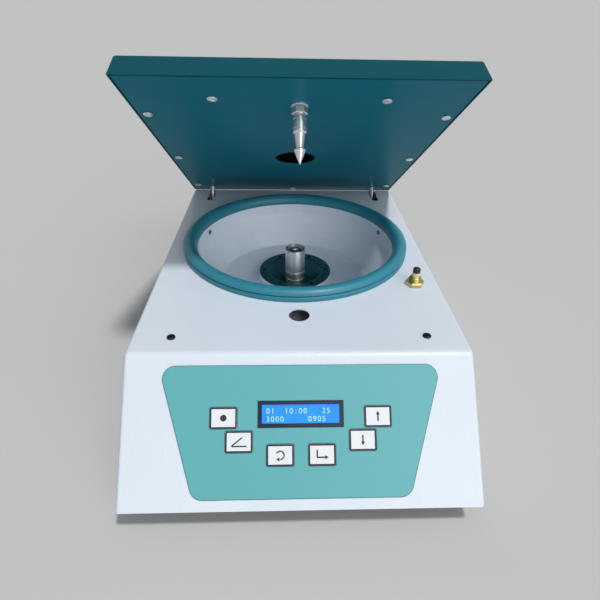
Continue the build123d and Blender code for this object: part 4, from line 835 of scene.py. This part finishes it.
class CENTRIFUGE_OT_key_prints(bpy.types.Operator):
    """Print a dark frame and a plain sign on each key, and a dark line along the foil's edge"""

    bl_idname = "centrifuge.key_prints"
    bl_label = "Key prints"

    # In millimetres. Strokes: from, to, width. Heads of arrows: tip, direction, size
    strokes = {
        "lid_key": [((-6, -3.6), (6.4, -3.6), 1.1), ((-6, -3.4), (2.6, 3.4), 1.1)],
        "enter_key": [((-4, 4), (-4, -2.6), 1.2), ((-4.6, -2.0), (2.4, -2.0), 1.2)],
        "down_key": [((0, 4), (0, -1.6), 1.3)],
        "up_key": [((0, -4), (0, 1.6), 1.3)],
    }
    heads = {"escape_key": ((-3.4, -3.25), pi, 1.9), "enter_key": ((5.4, -2.0), 0, 2.0),
             "down_key": ((0, -4.4), -pi / 2, 2.0), "up_key": ((0, 4.4), pi / 2, 2.0)}

    def execute(self, context):
        panel = panel_frame()
        for key in keys:
            low, high = span(key, panel)
            spot = middle(low, high)
            bm = bmesh.new()
            corners = flat_box(bm, high.x - low.x, high.y - low.y, Matrix.Identity(4))
            bmesh.ops.bevel(bm, geom=corners, offset=1.2 * mm, segments=4, profile=0.5, affect="VERTICES",
                            material=-1)
            edge_band(bm, bm.faces[:], sizes().key_frame)
            self.sign(bm, key)
            lay_print(bm, panel @ place((spot.x, spot.y, high.z)))
            finish_piece(bm, f"{key}_print", f"{key}_body", "ink")
        self.foil_edge(panel)
        return {"FINISHED"}

    def foil_edge(self, panel):
        """A thin dark line along the edges of the foil and of its windows."""
        top = span("control_overlay", panel)[1].z - 0.05 * mm
        bm = packed("control_overlay")
        bmesh.ops.transform(bm, matrix=panel.inverted(), verts=bm.verts[:])
        bmesh.ops.remove_doubles(bm, verts=bm.verts[:], dist=0.01 * mm)
        under = [f for f in bm.faces if f.normal.z < 0.9 or f.calc_center_median().z < top]
        bmesh.ops.delete(bm, geom=under, context="FACES")
        edge_band(bm, bm.faces[:], sizes().edge_line)
        lay_print(bm, panel)
        finish_piece(bm, "foil_edge_line", "housing", "edge_ink")

    def sign(self, bm, key):
        """The plain sign of a key: a dot, a turned arrow, or strokes and an arrow's head."""
        if key == "brake_key":
            bmesh.ops.create_circle(bm, cap_ends=True, segments=32, radius=2.7 * mm)
        if key == "escape_key":
            ends = [bm.verts.new((0, -radius * mm, 0)) for radius in (2.7, 3.8)]
            bmesh.ops.spin(bm, geom=ends + [bm.edges.new(ends)], cent=(0, 0, 0), axis=(0, 0, 1),
                           angle=pi * 1.35, steps=24)
        for start, end, width in self.strokes.get(key, ()):
            start, end = Vector(start) * mm, Vector(end) * mm
            run = end - start
            turn = Matrix.Rotation(atan2(run.y, run.x), 4, "Z")
            flat_box(bm, run.length, width * mm, place((*((start + end) / 2), 0), turn))
        if key in self.heads:
            tip, direction, size = self.heads[key]
            turn = Matrix.Rotation(direction, 4, "Z")
            spot = Vector((*tip, 0)) * mm - turn.to_3x3() @ Vector((size * mm, 0, 0))
            bmesh.ops.create_circle(bm, cap_ends=True, segments=3, radius=size * mm,
                                    matrix=place(spot, turn @ Matrix.Rotation(-pi / 2, 4, "Z")))


class CENTRIFUGE_OT_digits(bpy.types.Operator):
    """Light two rows of plain numbers on the display"""

    bl_idname = "centrifuge.digits"
    bl_label = "Display digits"

    rows = ("01  10:00   25", "3000     0905")

    def execute(self, context):
        panel = panel_frame()
        low, high = span("display_glass", panel)
        pitch, tall, margin = 3.9 * mm, 6.6 * mm, 5.0 * mm
        letters = {}
        bm = bmesh.new()
        for row, line in enumerate(self.rows):
            for column, sign in enumerate(line):
                if sign == " ":
                    continue
                if sign not in letters:
                    letters[sign] = self.outline(sign)
                before = set(bm.verts)
                bm.from_mesh(letters[sign])
                made = [v for v in bm.verts if v not in before]
                x = low.x + margin + column * pitch
                y = high.y - 2.2 * mm - margin - row * tall
                bmesh.ops.transform(bm, verts=made, matrix=panel @ place((x, y, high.z + 0.02 * mm)))
        finish_piece(bm, "display_digits", "housing", "digits")
        return {"FINISHED"}

    def outline(self, sign):
        """The mesh of one plain digit, as high as the display's rows."""
        text = bpy.data.curves.new("digit", "FONT")
        text.body = sign
        text.size = 6.4 * mm
        text.offset = -0.12 * mm
        text.align_x = "CENTER"
        holder = add_object("digit", text)
        bpy.context.view_layer.update()
        mesh = bpy.data.meshes.new_from_object(holder)
        bpy.data.objects.remove(holder)
        return mesh


class CENTRIFUGE_OT_feet(bpy.types.Operator):
    """Mould the ribbed rubber feet"""

    bl_idname = "centrifuge.feet"
    bl_label = "Feet"

    def execute(self, context):
        bm = bmesh.new()
        for low, high in islands("rubber_feet", Matrix.Identity(4)):
            spot = middle(low, high)
            wide, tall = (high.x - low.x) / 2, high.z
            hole, well, well_depth = 2.2 * mm, 5.5 * mm, 7 * mm
            outline = [(well, 0), *near(wide, 0, (-2.6, 0), (-2.05, 0.6))]
            for rib in range(3):
                level = 2.2 * mm + rib * 3.2 * mm
                lean = 2 * mm * (1 - level / tall)
                outline += near(wide - lean, level, (0, 0), (-0.6, 0.4), (-0.6, 1.0), (0.1, 1.4))
            outline += near(wide, tall, (-0.5, -0.4), (-0.8, 0))
            outline += [(hole, tall), (hole, well_depth), (well, well_depth)]
            spin_ring(bm, outline, place((spot.x, spot.y, 0)), 40)
        finish_piece(bm, "ribbed_feet", "housing", "rubber", swaps=["rubber_feet"])
        return {"FINISHED"}


class CENTRIFUGE_OT_window_ring(bpy.types.Operator):
    """Mould the rubber ring that holds the sight window"""

    bl_idname = "centrifuge.window_ring"
    bl_label = "Window ring"

    def execute(self, context):
        lid = lid_frame()
        low, high = span("window_grommet", lid)
        spot = middle(low, high)
        sheet_top = span("lid_shell", lid)[1].z
        outer, waist, lip, seat = (high.x - low.x) / 2, 22.9 * mm, 18.5 * mm, 21.0 * mm
        outline = near(lip, high.z, (0, -0.4), (0.4, 0)) + near(outer, high.z, (-0.8, 0), (-0.2, -0.4))
        outline += [(outer, sheet_top), *near(waist, sheet_top, (0, 0), (0, -1.2))]
        outline += near(outer, sheet_top, (0, -1.2)) + near(outer, low.z, (0, 0.6), (-0.6, 0))
        outline += near(lip, low.z, (0.4, 0), (0, 0.4), (0, 1)) + near(seat, low.z, (0, 1), (0, 4))
        outline += near(lip, low.z, (0, 4))
        bm = turned(lid @ place((spot.x, spot.y, 0)), (outline, 72))
        finish_piece(bm, "window_ring", "lid", "rubber", sharp=50, swaps=["window_grommet"])
        return {"FINISHED"}


class CENTRIFUGE_OT_rocker_marks(bpy.types.Operator):
    """Print the plain on and off marks on the rocker"""

    bl_idname = "centrifuge.rocker_marks"
    bl_label = "Rocker marks"

    def execute(self, context):
        low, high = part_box("power_rocker")
        spot = middle(low, high)
        bm = bmesh.new()
        for mark, offset in (("bar", 6.0 * mm), ("ring", -6.0 * mm)):
            where = on_surface("power_rocker", (spot.x, high.y + 0.05, spot.z + offset), (0, -1, 0))
            where = where @ place((0, 0, 0.03 * mm))
            if mark == "bar":
                flat_box(bm, 0.8 * mm, 4.0 * mm, where)
            else:
                rim = bmesh.ops.create_circle(bm, cap_ends=True, segments=32, radius=2.2 * mm, matrix=where)
                edge_band(bm, rim["verts"][0].link_faces[:], 0.7 * mm)
        finish_piece(bm, "rocker_marks", "rocker", "key")
        return {"FINISHED"}


class CENTRIFUGE_OT_coats(bpy.types.Operator):
    """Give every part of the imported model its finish"""

    bl_idname = "centrifuge.coats"
    bl_label = "Coats"

    coats = {
        "housing": ["housing_cover", "rear_panel"],
        "drum": ["chamber_bowl"],
        "lid": ["lid_shell"],
        "plate": ["lid_inner_plate"],
        "boot": ["motor_boot"],
        "ring": ["rim_gasket"],
        "foil": ["control_overlay"],
        "key": keys,
        "steel": ["rotor_spindle"],
        "bearing": ["motor_shaft", "motor_bearings"],
        "pin": ["latch_pin", "latch_pin_nut", "lid_arms"],
        "shaft": ["hinge_shaft", "solenoid_plunger"],
        "zinc": ["base_tray", "front_bridge", "hinge_brackets", "latch_bracket", "latch_slide", "arm_nuts"],
        "aluminium": ["motor_top_cap", "motor_base_cap", "motor_rotor"],
        "core": ["motor_stator"],
        "black_steel": ["motor_can", "hinge_springs", "cover_screws", "rear_panel_screws",
                        "latch_solenoid"],
        "rivet": ["bowl_rivets"],
        "screw": ["lid_screws", "boot_screws", "foot_screws", "spindle_screw"],
        "brass": ["switch_bushing", "switch_nut", "board_spacers"],
        "cream": ["switch_plunger"],
        "plastic": ["switch_cap", "lid_switch_body", "power_inlet", "power_switch", "power_rocker"],
        "bezel": ["display_module"],
        "rubber": ["rubber_feet", "window_grommet", "motor_mounts"],
        "board": ["front_board", "control_board"],
        "display": ["display_glass"],
        "window": ["sight_window"],
    }

    def execute(self, context):
        left = set(frame["nodes"])
        for name, nodes in self.coats.items():
            for node in nodes:
                for spot in frame["nodes"][node].material_slots:
                    spot.material = finish_for(name)
                left.discard(node)
        if left:
            raise RuntimeError(f"no finish for {sorted(left)}")
        return {"FINISHED"}


class CENTRIFUGE_OT_stage(bpy.types.Operator):
    """Set up the floor, the light and the camera"""

    bl_idname = "centrifuge.stage"
    bl_label = "Stage"

    def execute(self, context):
        look = context.scene.stage_look
        bm = bmesh.new()
        bmesh.ops.create_grid(bm, x_segments=1, y_segments=1, size=look.floor_reach)
        floor = add_mesh(bm, "floor", Finish("floor_paint", look.floor, 0.9, specular=0.0).material)
        self.sky(context, look)
        self.sun("light_above", look.key_light, radians(6), (0.26, -0.29, 1.0))
        self.sun("light_front", look.front_light, radians(45), (0.62, -1.0, 0.55))
        self.camera(context, look)
        return {"FINISHED"}

    def sky(self, context, look):
        """Soft light from all round, brighter overhead and in front."""
        world = bpy.data.worlds.new("soft_sky")
        world.use_nodes = True
        tree = world.node_tree
        towards = add_node(tree, "TexCoord", {}).outputs["Generated"]
        bright = Vector((0.2, -0.65, 0.73)).normalized()
        facing = vector_node(tree, "DOT_PRODUCT", towards, bright).outputs["Value"]
        light = {"Color": ramp(tree, facing, look.low_sky, (1, 1, 1), end=0.9), "Strength": look.sky}
        # The eye, metal and glass see the pale backdrop itself
        rays = add_node(tree, "LightPath", {}).outputs
        seen = math_node(tree, "MAXIMUM", rays["Is Camera Ray"], rays["Is Glossy Ray"])
        seen = math_node(tree, "MAXIMUM", seen, rays["Is Transmission Ray"])
        choices = [add_node(tree, "Background", inputs).outputs[0]
                   for inputs in (light, {"Color": (*look.floor, 1)})]
        choose = add_node(tree, "MixShader", {0: seen, 1: choices[0], 2: choices[1]})
        tree.links.new(choose.outputs[0], tree.nodes["World Output"].inputs["Surface"])
        context.scene.world = world

    def sun(self, name, strength, spread, towards):
        """A far, soft lamp that shines from the given direction."""
        lamp = bpy.data.lights.new(name, "SUN")
        lamp.energy = strength
        lamp.angle = spread
        turn = Vector(towards).to_track_quat("Z", "Y").to_matrix().to_4x4()
        add_object(name, lamp).matrix_world = turn

    def camera(self, context, look):
        """The photograph's view."""
        level = cos(look.pitch)
        ahead = Vector((sin(look.yaw) * level, cos(look.yaw) * level, -sin(look.pitch)))
        right = ahead.cross(Vector((0, 0, 1))).normalized()
        up = right.cross(ahead)
        side = cos(look.roll) * right + sin(look.roll) * up
        top = cos(look.roll) * up - sin(look.roll) * right
        lens = bpy.data.cameras.new("view")
        lens.sensor_fit = "HORIZONTAL"
        lens.sensor_width = 36
        lens.lens = look.lens
        lens.clip_start = 0.01
        camera = add_object("view", lens)
        turn = Matrix((side, top, -ahead)).transposed().to_4x4()
        camera.matrix_world = place(look.camera_place, turn)
        context.scene.camera = camera
        context.scene.view_settings.view_transform = "Standard"


class CENTRIFUGE_PT_panel(bpy.types.Panel):
    """Lists the pieces in the sidebar"""

    bl_label = "Centrifuge"
    bl_idname = "CENTRIFUGE_PT_panel"
    bl_space_type = "VIEW_3D"
    bl_region_type = "UI"
    bl_category = "Centrifuge"

    def draw(self, context):
        for operator in operators:
            self.layout.operator(operator.bl_idname)
        for group in settings_groups:
            settings = getattr(context.scene, group)
            box = self.layout.box()
            for name in settings.__annotations__:
                box.prop(settings, name)


settings_groups = {"coat_colours": CoatColours, "detail_sizes": DetailSizes, "stage_look": StageLook}
operators = [
    CENTRIFUGE_OT_stage, CENTRIFUGE_OT_coats, CENTRIFUGE_OT_rim_ring, CENTRIFUGE_OT_spindle,
    CENTRIFUGE_OT_latch_pin, CENTRIFUGE_OT_lid_switch, CENTRIFUGE_OT_screws, CENTRIFUGE_OT_key_prints,
    CENTRIFUGE_OT_digits, CENTRIFUGE_OT_feet, CENTRIFUGE_OT_window_ring, CENTRIFUGE_OT_rocker_marks,
]


def register():
    for name, kind in settings_groups.items():
        bpy.utils.register_class(kind)
        setattr(bpy.types.Scene, name, PointerProperty(type=kind))
    for kind in operators:
        bpy.utils.register_class(kind)
    bpy.utils.register_class(CENTRIFUGE_PT_panel)


def unregister():
    bpy.utils.unregister_class(CENTRIFUGE_PT_panel)
    for kind in reversed(operators):
        bpy.utils.unregister_class(kind)
    for name, kind in settings_groups.items():
        delattr(bpy.types.Scene, name)
        bpy.utils.unregister_class(kind)


def main():
    register()
    for operator in operators:
        space, name = operator.bl_idname.split(".")
        getattr(getattr(bpy.ops, space), name)()


if __name__ == "__main__":
    main()
